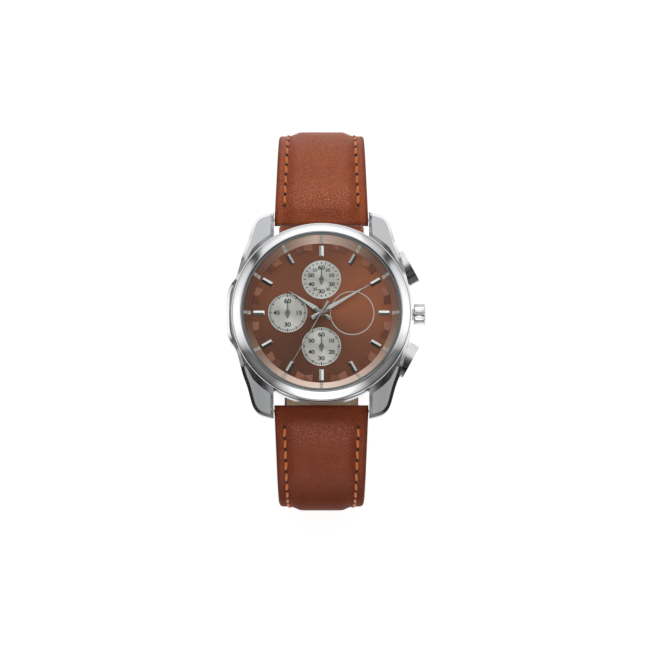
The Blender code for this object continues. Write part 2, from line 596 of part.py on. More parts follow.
def main():
    steel = material("brushed_steel", (0.55, 0.55, 0.57), 0.35, 1.0)
    polished = material("polished_steel", (0.72, 0.73, 0.75), 0.12, 1.0)
    dark = material("dark_hand", (0.12, 0.12, 0.13), 0.35, 0.6)
    brass = material("movement_brass", (0.78, 0.62, 0.32), 0.35, 1.0)
    nickel = material("cell_nickel", (0.68, 0.68, 0.66), 0.3, 1.0)
    copper = material("coil_copper", (0.6, 0.27, 0.12), 0.45, 0.8)
    brown = material("dial_brown", (0.2, 0.085, 0.055), 0.4, 0.3)
    silver = material("subdial_silver", (0.62, 0.6, 0.57), 0.35, 0.6)
    rubber = material("gasket_rubber", (0.03, 0.035, 0.045), 0.6, 0.0)
    plastic = material("holder_plastic", (0.75, 0.74, 0.7), 0.5, 0.0)
    green = material("circuit_green", (0.02, 0.12, 0.06), 0.45, 0.0)
    leather = material("strap_leather", (0.3, 0.1, 0.035), 0.55, 0.0)
    glass = material("crystal_glass", (0.92, 0.95, 0.97), 0.03, 0.0)
    glass.node_tree.nodes["Principled BSDF"].inputs["Alpha"].default_value = 0.25

    build_case(steel, polished, rubber, glass)
    build_dial(brown, silver, polished)
    build_hands(polished, dark)
    build_plates(brass, nickel, plastic, green)
    build_going_train(brass, steel)
    build_motor(steel, copper)
    build_motion_works(brass, steel)
    build_crown(steel, polished, rubber)
    for name, side in (("2", 1), ("4", -1)):
        build_pusher(name, side, steel, polished)
    build_strap(leather, steel, polished)


main()
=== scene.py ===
"""Looks of a chronograph wristwatch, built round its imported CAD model.

Shapes are drawn in millimetres and piece() turns them into metres. +X is 3 o'clock, +Y is 12 o'clock and
+Z is out through the crystal, as in the CAD model. Every piece rides on the CAD body that moves it.
"""

import json
import math
import random

import bmesh
import bpy
from mathutils import Matrix, Vector


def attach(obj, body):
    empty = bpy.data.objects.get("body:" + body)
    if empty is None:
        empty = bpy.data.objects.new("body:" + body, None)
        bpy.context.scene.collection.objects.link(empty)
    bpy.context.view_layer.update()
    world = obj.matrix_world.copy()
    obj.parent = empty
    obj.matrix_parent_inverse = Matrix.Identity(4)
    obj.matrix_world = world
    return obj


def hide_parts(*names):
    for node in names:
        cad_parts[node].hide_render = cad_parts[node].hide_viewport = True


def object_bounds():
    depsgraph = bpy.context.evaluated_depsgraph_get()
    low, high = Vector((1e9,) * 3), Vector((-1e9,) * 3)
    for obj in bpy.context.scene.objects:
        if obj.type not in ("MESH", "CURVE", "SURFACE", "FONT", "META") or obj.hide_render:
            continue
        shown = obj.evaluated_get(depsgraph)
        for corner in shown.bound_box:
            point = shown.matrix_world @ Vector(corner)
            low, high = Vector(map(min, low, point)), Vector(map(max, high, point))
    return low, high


MM = 0.001
TAU = math.tau
BEZEL_R = 21.0
BORE_R = 17.6
SUBDIAL_TOP = 7.1
DIAL_TOP = 6.9
STEM_Z = 4.2
PUSHER_ANGLE = 28.5  # either side of 3 o'clock, in degrees
TUBE_R = 1.45
BAR_Y, BAR_Z = 22.7, 2.8
HOUR_ANGLE, MINUTE_ANGLE, CHRONO_ANGLE = -56.4, 60.0, 210.0  # clockwise from 12, in degrees
SUBDIALS = {"12": (0.0, 7.9), "9": (-7.9, 0.0), "6": (0.0, -7.9)}

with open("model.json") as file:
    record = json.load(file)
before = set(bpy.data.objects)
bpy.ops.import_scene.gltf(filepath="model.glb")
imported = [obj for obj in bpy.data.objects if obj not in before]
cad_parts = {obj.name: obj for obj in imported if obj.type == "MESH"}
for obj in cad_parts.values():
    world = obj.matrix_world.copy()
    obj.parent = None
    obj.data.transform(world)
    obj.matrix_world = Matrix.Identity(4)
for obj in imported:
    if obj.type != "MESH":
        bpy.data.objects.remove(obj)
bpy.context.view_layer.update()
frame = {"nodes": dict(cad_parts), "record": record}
scene = bpy.context.scene
nodes = frame["nodes"]


# ---- material tools

def new_material(name, colour, roughness, metallic=0.0, **sockets):
    """A Principled material. sockets are more plain values, such as Coat_Weight=0.3."""
    made = bpy.data.materials.new(name)
    made.use_nodes = True
    tree = made.node_tree
    shader = tree.nodes["Principled BSDF"]
    connect(shader, Base_Color=(*colour, 1), Roughness=roughness, Metallic=metallic, **sockets)
    return made, tree, shader


def feed(value, socket):
    if isinstance(value, bpy.types.NodeSocket):
        socket.id_data.links.new(value, socket)
    elif value is not None:
        socket.default_value = value


def connect(node, **inputs):
    """Give a node's named sockets, with _ for a space, values or the outputs of other nodes."""
    for key, value in inputs.items():
        feed(value, node.inputs[key.replace("_", " ")])


def add(tree, kind, settings=None, **inputs):
    made = tree.nodes.new("ShaderNode" + kind)
    for key, value in (settings or {}).items():
        setattr(made, key, value)
    connect(made, **inputs)
    return made


def maths(operation, a, b=None, c=None, clamp=False):
    """A sum on the output a, with outputs or plain values."""
    made = add(a.id_data, "Math", {"operation": operation, "use_clamp": clamp})
    for value, socket in zip((a, b, c), made.inputs):
        feed(value, socket)
    return made.outputs[0]


def smooth_range(value, low, high, to_low=0.0, to_high=1.0):
    made = add(value.id_data, "MapRange", {"interpolation_type": "SMOOTHSTEP"}, Value=value, From_Min=low,
               From_Max=high, To_Min=to_low, To_Max=to_high)
    return made.outputs["Result"]


def ramp_of(value, levels):
    """Grey level looked up from (place, level) pairs."""
    made = add(value.id_data, "ValToRGB", Fac=value)
    stops = made.color_ramp.elements
    stops.remove(stops[-1])
    for i, (place, level) in enumerate(levels):
        stop = stops[0] if i == 0 else stops.new(place)
        stop.position = place
        stop.color = (level, level, level, 1)
    return made.outputs["Color"]


def mixed(factor, a, b, blend="MIX"):
    """Colours or outputs a and b, one of the three an output."""
    tree = next(value.id_data for value in (factor, a, b) if isinstance(value, bpy.types.NodeSocket))
    a, b = ((*value, 1) if isinstance(value, tuple) else value for value in (a, b))
    return add(tree, "MixRGB", {"blend_type": blend}, Fac=factor, Color1=a, Color2=b).outputs["Color"]


def place_of(tree, stretch=(1, 1, 1), centre=(0, 0, 0)):
    """The surface point in millimetres, from a centre in millimetres, each axis multiplied by stretch."""
    point = add(tree, "TexCoord").outputs["Object"]
    made = add(tree, "Mapping", Vector=point, Scale=[s / MM for s in stretch],
               Location=[-c * s for c, s in zip(centre, stretch)])
    return made.outputs["Vector"]


def noise(point, scale, detail=3.0, roughness=0.5):
    made = add(point.id_data, "TexNoise", Vector=point, Scale=scale, Detail=detail, Roughness=roughness)
    return made.outputs["Fac"]


def bump(shader, height, distance_mm, strength=1.0, under=None):
    """Relief on a shader, on top of the relief whose normal is under."""
    made = add(shader.id_data, "Bump", Height=height, Distance=distance_mm * MM, Strength=strength,
               Normal=under)
    connect(shader, Normal=made.outputs["Normal"])
    return made.outputs["Normal"]


def about_centre(point):
    """Angle and radius of a point about Z, and its height."""
    x, y, z = add(point.id_data, "SeparateXYZ", Vector=point).outputs
    squares = maths("ADD", maths("POWER", x, 2.0), maths("POWER", y, 2.0))
    return maths("ARCTAN2", y, x), maths("SQRT", squares), z


def times(colour, factor):
    return tuple(min(1, factor * c) for c in colour)


# ---- materials

def polished_metal(name, colour, roughness):
    """Mirror finish with hairline marks and a faint haze where fingers touch it."""
    made, tree, shader = new_material(name, colour, roughness, 1.0)
    haze = noise(place_of(tree), 0.35, 2)
    connect(shader, Roughness=smooth_range(haze, 0.35, 0.75, roughness, roughness + 0.05))
    bump(shader, noise(place_of(tree, (0.5, 9, 3)), 2.2, 4, 0.7), 0.002, 0.25)
    return made


def brushed_metal(name, colour, roughness, stretch, depth=0.006):
    """Fine straight grain along the axis whose stretch is smallest."""
    made, tree, shader = new_material(name, colour, roughness, 1.0)
    grain = noise(place_of(tree, stretch), 3.0, 5, 0.75)
    connect(shader, Base_Color=mixed(grain, times(colour, 0.9), times(colour, 1.06)),
            Roughness=smooth_range(grain, 0.2, 0.8, roughness - 0.06, roughness + 0.08))
    bump(shader, grain, depth, 0.5)
    return made


def turned_metal(name, colour, roughness):
    """Circular grain about Z, as left by a lathe."""
    made, tree, shader = new_material(name, colour, roughness, 1.0)
    _, radius, z = about_centre(place_of(tree))
    grain = noise(add(tree, "CombineXYZ", X=radius, Y=z).outputs[0], 9.0, 4, 0.7)
    connect(shader, Roughness=smooth_range(grain, 0.2, 0.8, roughness - 0.05, roughness + 0.08))
    bump(shader, grain, 0.006, 0.6)
    return made


def sunburst_painted_reflection(name, colours, roughness, metallic, centre, painted_reflection_lobes, spokes=60.0):
    """Lacquer over fine radial grain, with painted reflection: light and dark sectors with soft edges meet at
    the centre.
    """
    made, tree, shader = new_material(name, colours[0], roughness, metallic, Coat_Weight=0.12,
                                      Coat_Roughness=0.08)
    angle, radius, _ = about_centre(place_of(tree, centre=(*centre, 0)))
    total = 0.0
    for turns, phase, weight in painted_reflection_lobes:
        turned = maths("MULTIPLY_ADD", angle, float(turns), -turns * math.radians(phase))
        total = maths("MULTIPLY_ADD", maths("COSINE", turned), weight, total)
    x, y = (maths("MULTIPLY", maths(wave, angle), spokes) for wave in ("COSINE", "SINE"))
    grain = noise(add(tree, "CombineXYZ", X=x, Y=y).outputs[0], 1.0, 3, 0.6)
    # Painted reflection sectors, broken up by the radial grain.
    reflection_and_grain = maths("ADD", maths("MULTIPLY_ADD", total, 0.5, 0.5),
                   maths("MULTIPLY_ADD", grain, 0.24, -0.12), clamp=True)
    connect(shader, Base_Color=mixed(reflection_and_grain, *colours))
    bump(shader, maths("MULTIPLY", grain, smooth_range(radius, 0.0, 2.0)), 0.01, 0.4)
    return made


def leather(name, colour, dark, grain_scale=2.2, shine=0.36, gloss=0.62):
    """Pebbled, porous and creased leather: darker where "edge" is high, which holds darker rims and painted
    shade, and lighter where the painted highlight attribute is high.
    """
    made, tree, shader = new_material(name, colour, shine, 0.0)
    point = place_of(tree)
    drift = add(tree, "TexNoise", Vector=point, Scale=0.9, Detail=2.0).outputs["Color"]
    scaled = add(tree, "VectorMath", {"operation": "SCALE"}, Vector=drift, Scale=0.5)
    warped = add(tree, "VectorMath", {"operation": "ADD"}, Vector=point)
    feed(scaled.outputs[0], warped.inputs[1])
    cells = add(tree, "TexVoronoi", {"feature": "DISTANCE_TO_EDGE"}, Vector=warped.outputs[0],
                Scale=grain_scale, Randomness=1.0).outputs["Distance"]
    pebble = smooth_range(cells, 0.0, 0.32)
    pores = noise(point, 7.0, 4, 0.65)
    creases = noise(place_of(tree, (0.35, 1.5, 1.5)), 1.1, 5, 0.62)
    blotches = noise(point, 0.16, 3, 0.55)
    edge = add(tree, "Attribute", {"attribute_name": "edge"}).outputs["Fac"]
    painted_highlight = add(tree, "Attribute", {"attribute_name": "painted_highlight"}).outputs["Fac"]
    painted_highlight = maths("MULTIPLY", painted_highlight, smooth_range(cells, 0.08, 0.3))
    tone = mixed(smooth_range(blotches, 0.25, 0.75, 0.5, 1.0), dark, colour)
    tone = mixed(maths("MULTIPLY_ADD", pebble, 0.45, 0.6, clamp=True), dark, tone)
    # Painted highlight: lighter where the painted highlight attribute is high, on the pebble tops.
    tone = mixed(painted_highlight, tone, tuple(0.2 + 1.3 * c for c in colour))
    # Darker where the edge attribute is high: the strap's darker rims and painted shade.
    tone = mixed(maths("MULTIPLY", edge, 0.75), tone, times(dark, 0.55))
    rough = maths("MULTIPLY_ADD", edge, 0.3, maths("MULTIPLY_ADD", pores, 0.16, shine - 0.1))
    connect(shader, Base_Color=tone, Roughness=rough,
            Specular_IOR_Level=maths("MULTIPLY_ADD", edge, -0.8 * gloss, gloss))
    first = bump(shader, creases, 0.14, 0.6)
    second = bump(shader, pebble, 0.16, 1.0, first)
    bump(shader, pores, 0.02, 0.7, second)
    return made


def thread(name, colour):
    """Waxed thread with the slanted ridges of its twist."""
    made, tree, shader = new_material(name, colour, 0.55, 0.0, Sheen_Weight=0.2)
    twist = add(tree, "TexWave", {"wave_type": "BANDS", "bands_direction": "DIAGONAL"},
                Vector=place_of(tree), Scale=1.9, Distortion=0.6).outputs["Fac"]
    connect(shader, Base_Color=mixed(twist, times(colour, 0.55), colour))
    bump(shader, twist, 0.04, 0.8)
    return made


def speckled(name, colour, roughness, metallic=0.0, amount=0.12, scale=1.5, depth=0.004, **sockets):
    """Moulded, painted or printed surface with slight cloudiness and a fine texture."""
    made, tree, shader = new_material(name, colour, roughness, metallic, **sockets)
    cloud = noise(place_of(tree), scale, 4, 0.6)
    connect(shader, Base_Color=mixed(cloud, times(colour, 1 - amount), times(colour, 1 + amount)),
            Roughness=smooth_range(cloud, 0.3, 0.7, roughness - 0.04, roughness + 0.05))
    bump(shader, noise(place_of(tree), 14.0, 2), depth, 0.5)
    return made


# Painted reflection on the chapter ring: how pale it is painted at each angle, counterclockwise from 3
# o'clock.
REHAUT_PAINTED_REFLECTION = [(0, 0.16), (45, 0.14), (75, 0.55), (95, 0.75), (120, 0.3), (150, 0.06), (185, 0.02),
                (215, 0.3), (245, 0.85), (270, 1.0), (300, 0.8), (330, 0.42), (360, 0.16)]


def rehaut_painted_reflection_lacquer():
    """Lacquer with a painted reflection that pales it towards 6 and 12 o'clock and a painted glow there, with
    fine turned lines.
    """
    made, tree, shader = new_material("rehaut_brown", (0.3, 0.13, 0.08), 0.3, 0.1, Coat_Weight=0.1)
    angle, radius, _ = about_centre(place_of(tree))
    share = maths("FRACT", maths("MULTIPLY_ADD", angle, 1 / TAU, 1.0))
    pale = ramp_of(share, [(degrees / 360, level) for degrees, level in REHAUT_PAINTED_REFLECTION])
    lines = smooth_range(maths("PINGPONG", radius, 0.35), 0.09, 0.0)
    amount = maths("MULTIPLY_ADD", pale, 0.95, maths("MULTIPLY", lines, 0.12), clamp=True)
    tint = mixed(amount, (0.22, 0.08, 0.045), (1.0, 0.78, 0.67))
    # The pale share is painted reflection, and the emission is a painted glow.
    connect(shader, Base_Color=tint, Emission_Color=tint,
            Emission_Strength=maths("MULTIPLY", pale, 0.45))
    bump(shader, lines, 0.02, 0.5)
    return made


def crystal_glass():
    """Flat mineral glass: clear, with a reflection that grows towards grazing angles."""
    made, tree, shader = new_material("crystal_glass", (0.01, 0.012, 0.012), 0.02, IOR=1.45)
    smudges = noise(place_of(tree), 0.12, 3)
    connect(shader, Roughness=smooth_range(smudges, 0.3, 0.8, 0.015, 0.05))
    edge_on = add(tree, "LayerWeight", Blend=0.5).outputs["Facing"]
    share = maths("MULTIPLY_ADD", maths("POWER", edge_on, 4.0), 0.7, 0.045)
    clear = add(tree, "BsdfTransparent", Color=(0.985, 0.99, 0.985, 1))
    both = add(tree, "MixShader", Fac=share)
    feed(clear.outputs[0], both.inputs[1])
    feed(shader.outputs[0], both.inputs[2])
    connect(tree.nodes["Material Output"], Surface=both.outputs[0])
    return made


POLISHED = polished_metal("polished_steel", (0.8, 0.805, 0.815), 0.07)
SATIN = brushed_metal("satin_steel", (0.52, 0.525, 0.535), 0.2, (9, 0.35, 2), 0.0012)
FLANK = brushed_metal("flank_steel", (0.52, 0.525, 0.535), 0.18, (3, 0.3, 6), 0.0015)
# Darker copy of the satin steel for the collar below the bezel: painted shade.
COLLAR_PAINTED_SHADE = brushed_metal("collar_painted_shade", (0.3, 0.305, 0.315), 0.22, (3, 3, 3), 0.0015)
TURNED = turned_metal("turned_steel", (0.7, 0.705, 0.715), 0.24)
BRASS = turned_metal("movement_brass", (0.75, 0.6, 0.32), 0.28)
NICKEL = brushed_metal("cell_nickel", (0.66, 0.655, 0.63), 0.3, (0.4, 5, 5))
COPPER = speckled("coil_copper", (0.55, 0.24, 0.1), 0.4, 0.8, 0.25, 6.0, 0.03)
RUBBER = speckled("gasket_rubber", (0.16, 0.19, 0.2), 0.45, 0.0, 0.2, 3.0)
BLACK_RUBBER = speckled("ring_rubber", (0.02, 0.02, 0.022), 0.5, 0.0, 0.3, 3.0)
PLASTIC = speckled("holder_plastic", (0.72, 0.71, 0.67), 0.45, 0.0, 0.06)
GREEN = speckled("circuit_green", (0.02, 0.12, 0.06), 0.35, 0.0, 0.3, 4.0)
INK = speckled("dial_ink", (0.012, 0.012, 0.013), 0.5, 0.0, 0.3, 4.0)
WHITE_INK = speckled("rehaut_ink", (0.78, 0.76, 0.73), 0.4, 0.0, 0.05, 4.0)
SILVER_INK = speckled("dial_silver_ink", (0.8, 0.74, 0.69), 0.35, 0.0, 0.04, 4.0, 0.001)
LUME = speckled("lume", (0.84, 0.84, 0.8), 0.6, 0.0, 0.05, 8.0, 0.01)
HAND_STEEL = brushed_metal("hand_steel", (0.6, 0.6, 0.59), 0.2, (2, 2, 2), 0.002)
BAR_STEEL = polished_metal("bar_steel", (0.86, 0.865, 0.86), 0.2)
# Darker copies of the bright steel: painted shade on the bar and hand facets that lean towards 6 or 9
# o'clock.
SHADE_STEEL = polished_metal("shade_steel", (0.34, 0.345, 0.34), 0.15)
PAINTED_SHADE_FACET = polished_metal("painted_shade_facet", (0.12, 0.12, 0.118), 0.2)
DARK_HAND = speckled("dark_hand", (0.32, 0.32, 0.325), 0.3, 0.9, 0.15, 5.0)
# The light and dark sectors of the dial and the counters are painted reflection.
DIAL_BROWN = sunburst_painted_reflection("dial_brown", [(0.11, 0.043, 0.027), (0.53, 0.175, 0.085)], 0.36, 0.2, (0, 0),
                      [(1, 45, 0.6), (2, 5, 0.3), (3, 30, 0.15)])
REHAUT_BROWN = rehaut_painted_reflection_lacquer()
BLOCK_BROWN = speckled("block_brown", (0.44, 0.17, 0.1), 0.3, 0.3, 0.08, 1.2, 0.003, Coat_Weight=0.2)
# BLOCK_SHADE is a darker copy of the block brown: painted shade on the block facets that lean towards 6 or 9
# o'clock.
BLOCK_SHADE = speckled("block_shade", (0.28, 0.1, 0.06), 0.3, 0.2, 0.08, 1.2, 0.003, Coat_Weight=0.2)
SUBDIAL_SILVER = {
    place: sunburst_painted_reflection("subdial_silver_" + place, [(0.66, 0.64, 0.6), (1.0, 0.98, 0.94)], 0.34, 0.0, at,
                    [(2, 100, 0.7), (4, 20, 0.25)], 90.0)
    for place, at in SUBDIALS.items()
}
STRAP = leather("strap_leather", (0.56, 0.112, 0.023), (0.37, 0.066, 0.014))
# A darker, less glossy copy of the strap leather for the 6 o'clock half: painted shade.
STRAP_PAINTED_SHADE = leather("strap_leather_painted_shade", (0.36, 0.068, 0.02), (0.25, 0.042, 0.012), gloss=0.35)
LINING = leather("strap_lining", (0.58, 0.4, 0.25), (0.48, 0.32, 0.19), 4.5, 0.62)
PAINTED_EDGE = speckled("strap_edge_paint", (0.05, 0.014, 0.01), 0.4, 0.0, 0.3, 2.5, 0.01)
THREAD = thread("stitch_thread", (0.92, 0.25, 0.055))
PALE_THREAD = thread("lining_thread", (0.6, 0.47, 0.31))
NEEDLE_HOLE_SHADE = speckled("stitch_hole_shade", (0.012, 0.005, 0.003), 0.7, 0.0, 0.2)
GLASS = crystal_glass()


# ---- shape tools

def polar(radius, degrees, centre=(0, 0)):
    a = math.radians(degrees)
    return (centre[0] + radius * math.cos(a), centre[1] + radius * math.sin(a))


def ease(low, high, value):
    """From 0 at low to 1 at high, level at both ends. low may be the larger."""
    t = min(1.0, max(0.0, (value - low) / (high - low)))
    return t * t * (3 - 2 * t)


def interpolate(table, value):
    """Straight runs between (place, value) pairs, level beyond each end."""
    if value <= table[0][0]:
        return table[0][1]
    for (x0, y0), (x1, y1) in zip(table, table[1:]):
        if value <= x1:
            return y0 + (y1 - y0) * (value - x0) / (x1 - x0)
    return table[-1][1]


def clockwise(degrees, at=(0, 0, 0)):
    return Matrix.Translation(at) @ Matrix.Rotation(-math.radians(degrees), 4, "Z")


def in_metres(name, mesh):
    """Mesh data from a bmesh drawn in millimetres, which is used up."""
    mesh.transform(Matrix.Scale(MM, 4))
    data = bpy.data.meshes.new(name)
    mesh.to_mesh(data)
    mesh.free()
    return data


def put_in_scene(name, data):
    made = bpy.data.objects.new(name, data)
    scene.collection.objects.link(made)
    return made


def evaluated_mesh(target):
    bpy.context.view_layer.update()
    return bpy.data.meshes.new_from_object(target.evaluated_get(bpy.context.evaluated_depsgraph_get()))


def piece(name, mesh, materials, body, slot, place=None, angle=30, replaces=(), bevel=0.0, oriented=False):
    """Finish a bmesh drawn in millimetres as one piece that rides on a body."""
    if place:
        mesh.transform(place)
    if not oriented:
        bmesh.ops.recalc_face_normals(mesh, faces=mesh.faces)
    data = in_metres(name, mesh)
    for material in materials if isinstance(materials, list) else [materials]:
        data.materials.append(material)
    data.shade_smooth()
    data.set_sharp_from_angle(angle=math.radians(angle))
    made = put_in_scene(name, data)
    if bevel:
        soften(made, bevel)
    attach(made, body)
    if replaces:
        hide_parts(*replaces)
    return made


def soften(made, width, degrees=28):
    rounding = made.modifiers.new("rounded_edges", "BEVEL")
    rounding.width = width * MM
    rounding.segments = 2
    rounding.limit_method = "ANGLE"
    rounding.angle_limit = math.radians(degrees)
    rounding.harden_normals = True


def add_skin(mesh, rows, closed=False):
    """Faces between neighbouring rows of points. A row is a ring, or one point repeated."""
    faces = []
    for low, high in zip(rows, rows[1:] + rows[:1] if closed else rows[1:]):
        for i in range(len(low)):
            j = (i + 1) % len(low)
            corners = list(dict.fromkeys((low[i], low[j], high[j], high[i])))
            if len(corners) > 2:
                faces.append(mesh.faces.new(corners))
    return faces


def add_ring(mesh, radius, z, steps, dip=None):
    """A row of points round Z. dip gives what is taken off the radius at each angle."""
    if radius < 1e-6:
        return [mesh.verts.new((0, 0, z))] * steps
    angles = [360 * i / steps for i in range(steps)]
    return [mesh.verts.new((*polar(radius - (dip(a) if dip else 0), a), z)) for a in angles]


def add_lathe(mesh, profile, steps, closed=True):
    """Rings of quads round Z through the (radius, height) points."""
    add_skin(mesh, [add_ring(mesh, radius, z, steps) for radius, z in profile], closed)


def lathe(name, profile, steps, materials, body, slot, closed=True, **more):
    mesh = bmesh.new()
    add_lathe(mesh, profile, steps, closed)
    return piece(name, mesh, materials, body, slot, **more)


def add_prism(mesh, outline, low, high, holes=(), place=None):
    """Upright solid on an outline between two heights, with through holes."""
    start = len(mesh.verts)
    made = []
    for level in (low, high):
        loops = [[mesh.verts.new((x, y, level)) for x, y in loop] for loop in (outline, *holes)]
        edges = [mesh.edges.new(ends) for points in loops for ends in zip(points, points[1:] + points[:1])]
        bmesh.ops.triangle_fill(mesh, use_beauty=True, edges=edges, normal=(0, 0, 1))
        made.append(loops)
    for bottom, top in zip(*made):
        add_skin(mesh, [bottom, top])
    if place:
        mesh.verts.ensure_lookup_table()
        bmesh.ops.transform(mesh, matrix=place, verts=mesh.verts[start:])


def add_hull(mesh, points, place=None):
    """Convex solid through the points, joined to the mesh."""
    verts = [mesh.verts.new(place @ Vector(p) if place else p) for p in points]
    bmesh.ops.convex_hull(mesh, input=verts)


def circle(radius, count, centre=(0, 0)):
    return [polar(radius, 360 * i / count, centre) for i in range(count)]


def rectangle(x0, y0, x1, y1):
    return [(x0, y0), (x1, y0), (x1, y1), (x0, y1)]


def rounded_rectangle(width, height, radius, count=6):
    points = []
    for quarter, (sx, sy) in enumerate(((1, 1), (-1, 1), (-1, -1), (1, -1))):
        centre = (sx * (width / 2 - radius), sy * (height / 2 - radius))
        points += [polar(radius, 90 * (quarter + i / count), centre) for i in range(count + 1)]
    return points


def along_spoke(degrees):
    """The frame at the stem's height whose Z points outwards, degrees counterclockwise from 3 o'clock."""
    turn = Matrix.Rotation(math.radians(degrees), 4, "Z")
    return Matrix.Translation((0, 0, STEM_Z)) @ turn @ Matrix.Rotation(math.pi / 2, 4, "Y")


# ---- case

OUTLINE = [(21.25, 0), (21.1, 3.6), (20.2, 7.4), (19.4, 10.6), (18.4, 14.2), (17.35, 17.1), (16.55, 20.0),
           (16.15, 21.3), (15.5, 22.5), (14.5, 23.4), (12.9, 24.0), (11.2, 24.4)]
LEFT_OUTLINE = [(-22.3, 0), (-22.2, 3.5), (-21.85, 5.4), (-21.15, 6.8), (-20.15, 8.2), (-19.4, 10.4)]
BORE_AT_TIP, BORE_AT_ROOT = 51.4, 52.3  # where the bore meets a lug's tip and its root, in degrees
LUG_TOP = [(0, 7.25), (9, 7.2), (12.5, 7.12), (24.6, 4.2)]
LUG_BOTTOM = [(0, 1.12), (18.9, 1.12), (20.4, 0.7), (22.8, 0.42), (24.6, 0.8)]


def spread(points, step):
    """The polyline with points added so that none are further apart than step, rounded at its corners."""
    out = []
    for i in range(len(points) - 1):
        p0, p1 = Vector(points[max(i - 1, 0)]), Vector(points[i])
        p2, p3 = Vector(points[i + 1]), Vector(points[min(i + 2, len(points) - 1)])
        parts = max(1, round((p2 - p1).length / step))
        for k in range(parts):
            t = k / parts
            a = 2 * p1 + (p2 - p0) * t + (2 * p0 - 5 * p1 + 4 * p2 - p3) * t**2
            out.append(0.5 * (a + (3 * p1 - p0 - 3 * p2 + p3) * t**3))
    return out + [Vector(points[-1])]


def quarter_stations(outer):
    """(outline point, bore angle) round one quarter, from the 3 o'clock side to 12 o'clock."""
    flank = spread(outer, 0.45)
    tip = flank[-1]
    lengths = [0.0]
    for a, b in zip(flank, flank[1:]):
        lengths.append(lengths[-1] + (b - a).length)
    stations = [(point, BORE_AT_TIP * (along / lengths[-1])) for point, along in zip(flank, lengths)]
    inner_y = math.sqrt(BEZEL_R**2 - tip.x**2)
    for share in (k / 12 for k in range(1, 13)):
        angle = BORE_AT_TIP + (BORE_AT_ROOT - BORE_AT_TIP) * share
        stations.append((Vector((tip.x, tip.y + (inner_y - tip.y) * share)), angle))
    start = math.degrees(math.atan2(inner_y, tip.x))
    for share in (k / 18 for k in range(1, 19)):
        angle = BORE_AT_ROOT + (90 - BORE_AT_ROOT) * share
        stations.append((Vector(polar(BEZEL_R, start + (90 - start) * share)), angle))
    return stations


def case_stations():
    right = quarter_stations(OUTLINE)
    left_outer = [(-x, y) for x, y in LEFT_OUTLINE] + OUTLINE[4:]
    left = [(Vector((-p.x, p.y)), 180 - a) for p, a in quarter_stations(left_outer)]
    top = right + left[::-1][1:]
    return top + [(Vector((p.x, -p.y)), 360 - a) for p, a in top[::-1][1:-1]]


def inset(points, distance):
    """The closed counterclockwise outline moved inwards, with mitred corners."""
    moved = []
    for i, point in enumerate(points):
        u = (point - points[i - 1]).normalized()
        v = (points[(i + 1) % len(points)] - point).normalized()
        middle = Vector((-u.y - v.y, u.x + v.x))
        moved.append(point + middle * (distance / max(middle.length_squared / 2, 0.45)))
    return moved


def build_case():
    """Case middle: lug tops fall away below a steep collar under the bezel, with polished edges all round."""
    stations = case_stations()
    outline = [p for p, _ in stations]
    top_z = 7.4
    mesh = bmesh.new()
    rows = []
    for (point, angle), high, low in zip(stations, inset(outline, 0.75), inset(outline, 0.3)):
        bore = Vector(polar(BORE_R + 0.02, angle))
        collar = min(1.25, 0.42 * max(0.0, high.length - BEZEL_R))
        way = (high - bore).normalized()
        along_bezel = bore + way * max(0.0, crossing(bore, way, BEZEL_R - 0.1))
        along_collar = bore + way * max(0.0, crossing(bore, way, BEZEL_R + 0.05 + collar))
        if high.length < BEZEL_R + 0.12:
            along_bezel = bore.lerp(high, 0.6)
            along_collar = bore.lerp(high, 0.85)
        upper = [along_collar.lerp(high, k / 5) for k in range(6)]
        edge_z = lug_z(point, top_z) - 0.3 - 0.32 * ease(7, 11, abs(point.y))
        bottom = interpolate(LUG_BOTTOM, abs(point.y))
        row = [(bore, 1.2), (bore, top_z), (along_bezel, top_z)]
        row += [(spot, lug_z(spot, top_z)) for spot in upper]
        row += [(point, edge_z), (point, 0.5 * (edge_z + bottom)), (point, bottom + 0.3), (low, bottom)]
        rows.append([mesh.verts.new((*spot, z)) for spot, z in row])
    # The collar band takes the darker steel, painted shade.
    satin, polished, flank, collar = range(4)
    for i, (a, b) in enumerate(zip(rows, rows[1:] + rows[:1])):
        top = polished if abs(outline[i].y) < 9.5 else satin
        bands = [flank, flank, collar, *[top] * 5, polished, flank, flank, polished, flank]
        for j, band in enumerate(bands):
            k = (j + 1) % len(a)
            mesh.faces.new((a[j], b[j], b[k], a[k])).material_index = band
    bmesh.ops.remove_doubles(mesh, verts=mesh.verts, dist=1e-4)
    made = piece("case_body", mesh, [SATIN, POLISHED, FLANK, COLLAR_PAINTED_SHADE], "case", "brushed_steel", angle=24,
                 replaces=["case_middle"])
    for degrees in (PUSHER_ANGLE, -PUSHER_ANGLE):
        cut_with(made, [(rounded_rectangle(4.2, 8.9, 0.9), 20.42, 27.0, along_spoke(degrees))])
    cut_with(made, [(circle(TUBE_R, 32), 20, 24, along_spoke(0))])
    soften(made, 0.09, 20)


def crossing(start, way, radius):
    """Distance along way from start to the circle about the origin."""
    b = start.dot(way)
    return -b + math.sqrt(max(0.0, b * b - start.length_squared + radius**2))


def lug_z(point, top_z):
    """Height of the case's upper face, a touch lower towards its outer edge."""
    level = interpolate(LUG_TOP, abs(point.y))
    return min(top_z, level + 0.12 * ease(17, 12, abs(point.x)))


def cut_with(target, prisms):
    """Cut upright prisms (outline, low, high, place) out of an object, and leave no tool in the scene."""
    mesh = bmesh.new()
    for outline, low, high, place in prisms:
        add_prism(mesh, outline, low, high, place=place)
    bmesh.ops.recalc_face_normals(mesh, faces=mesh.faces)
    data = in_metres("tool", mesh)
    tool = put_in_scene("tool", data)
    cut = target.modifiers.new("cut", "BOOLEAN")
    cut.object = tool
    cut.solver = "EXACT"
    result = evaluated_mesh(target)
    target.modifiers.remove(cut)
    old, target.data = target.data, result
    bpy.data.objects.remove(tool)
    for used in (old, data):
        bpy.data.meshes.remove(used)


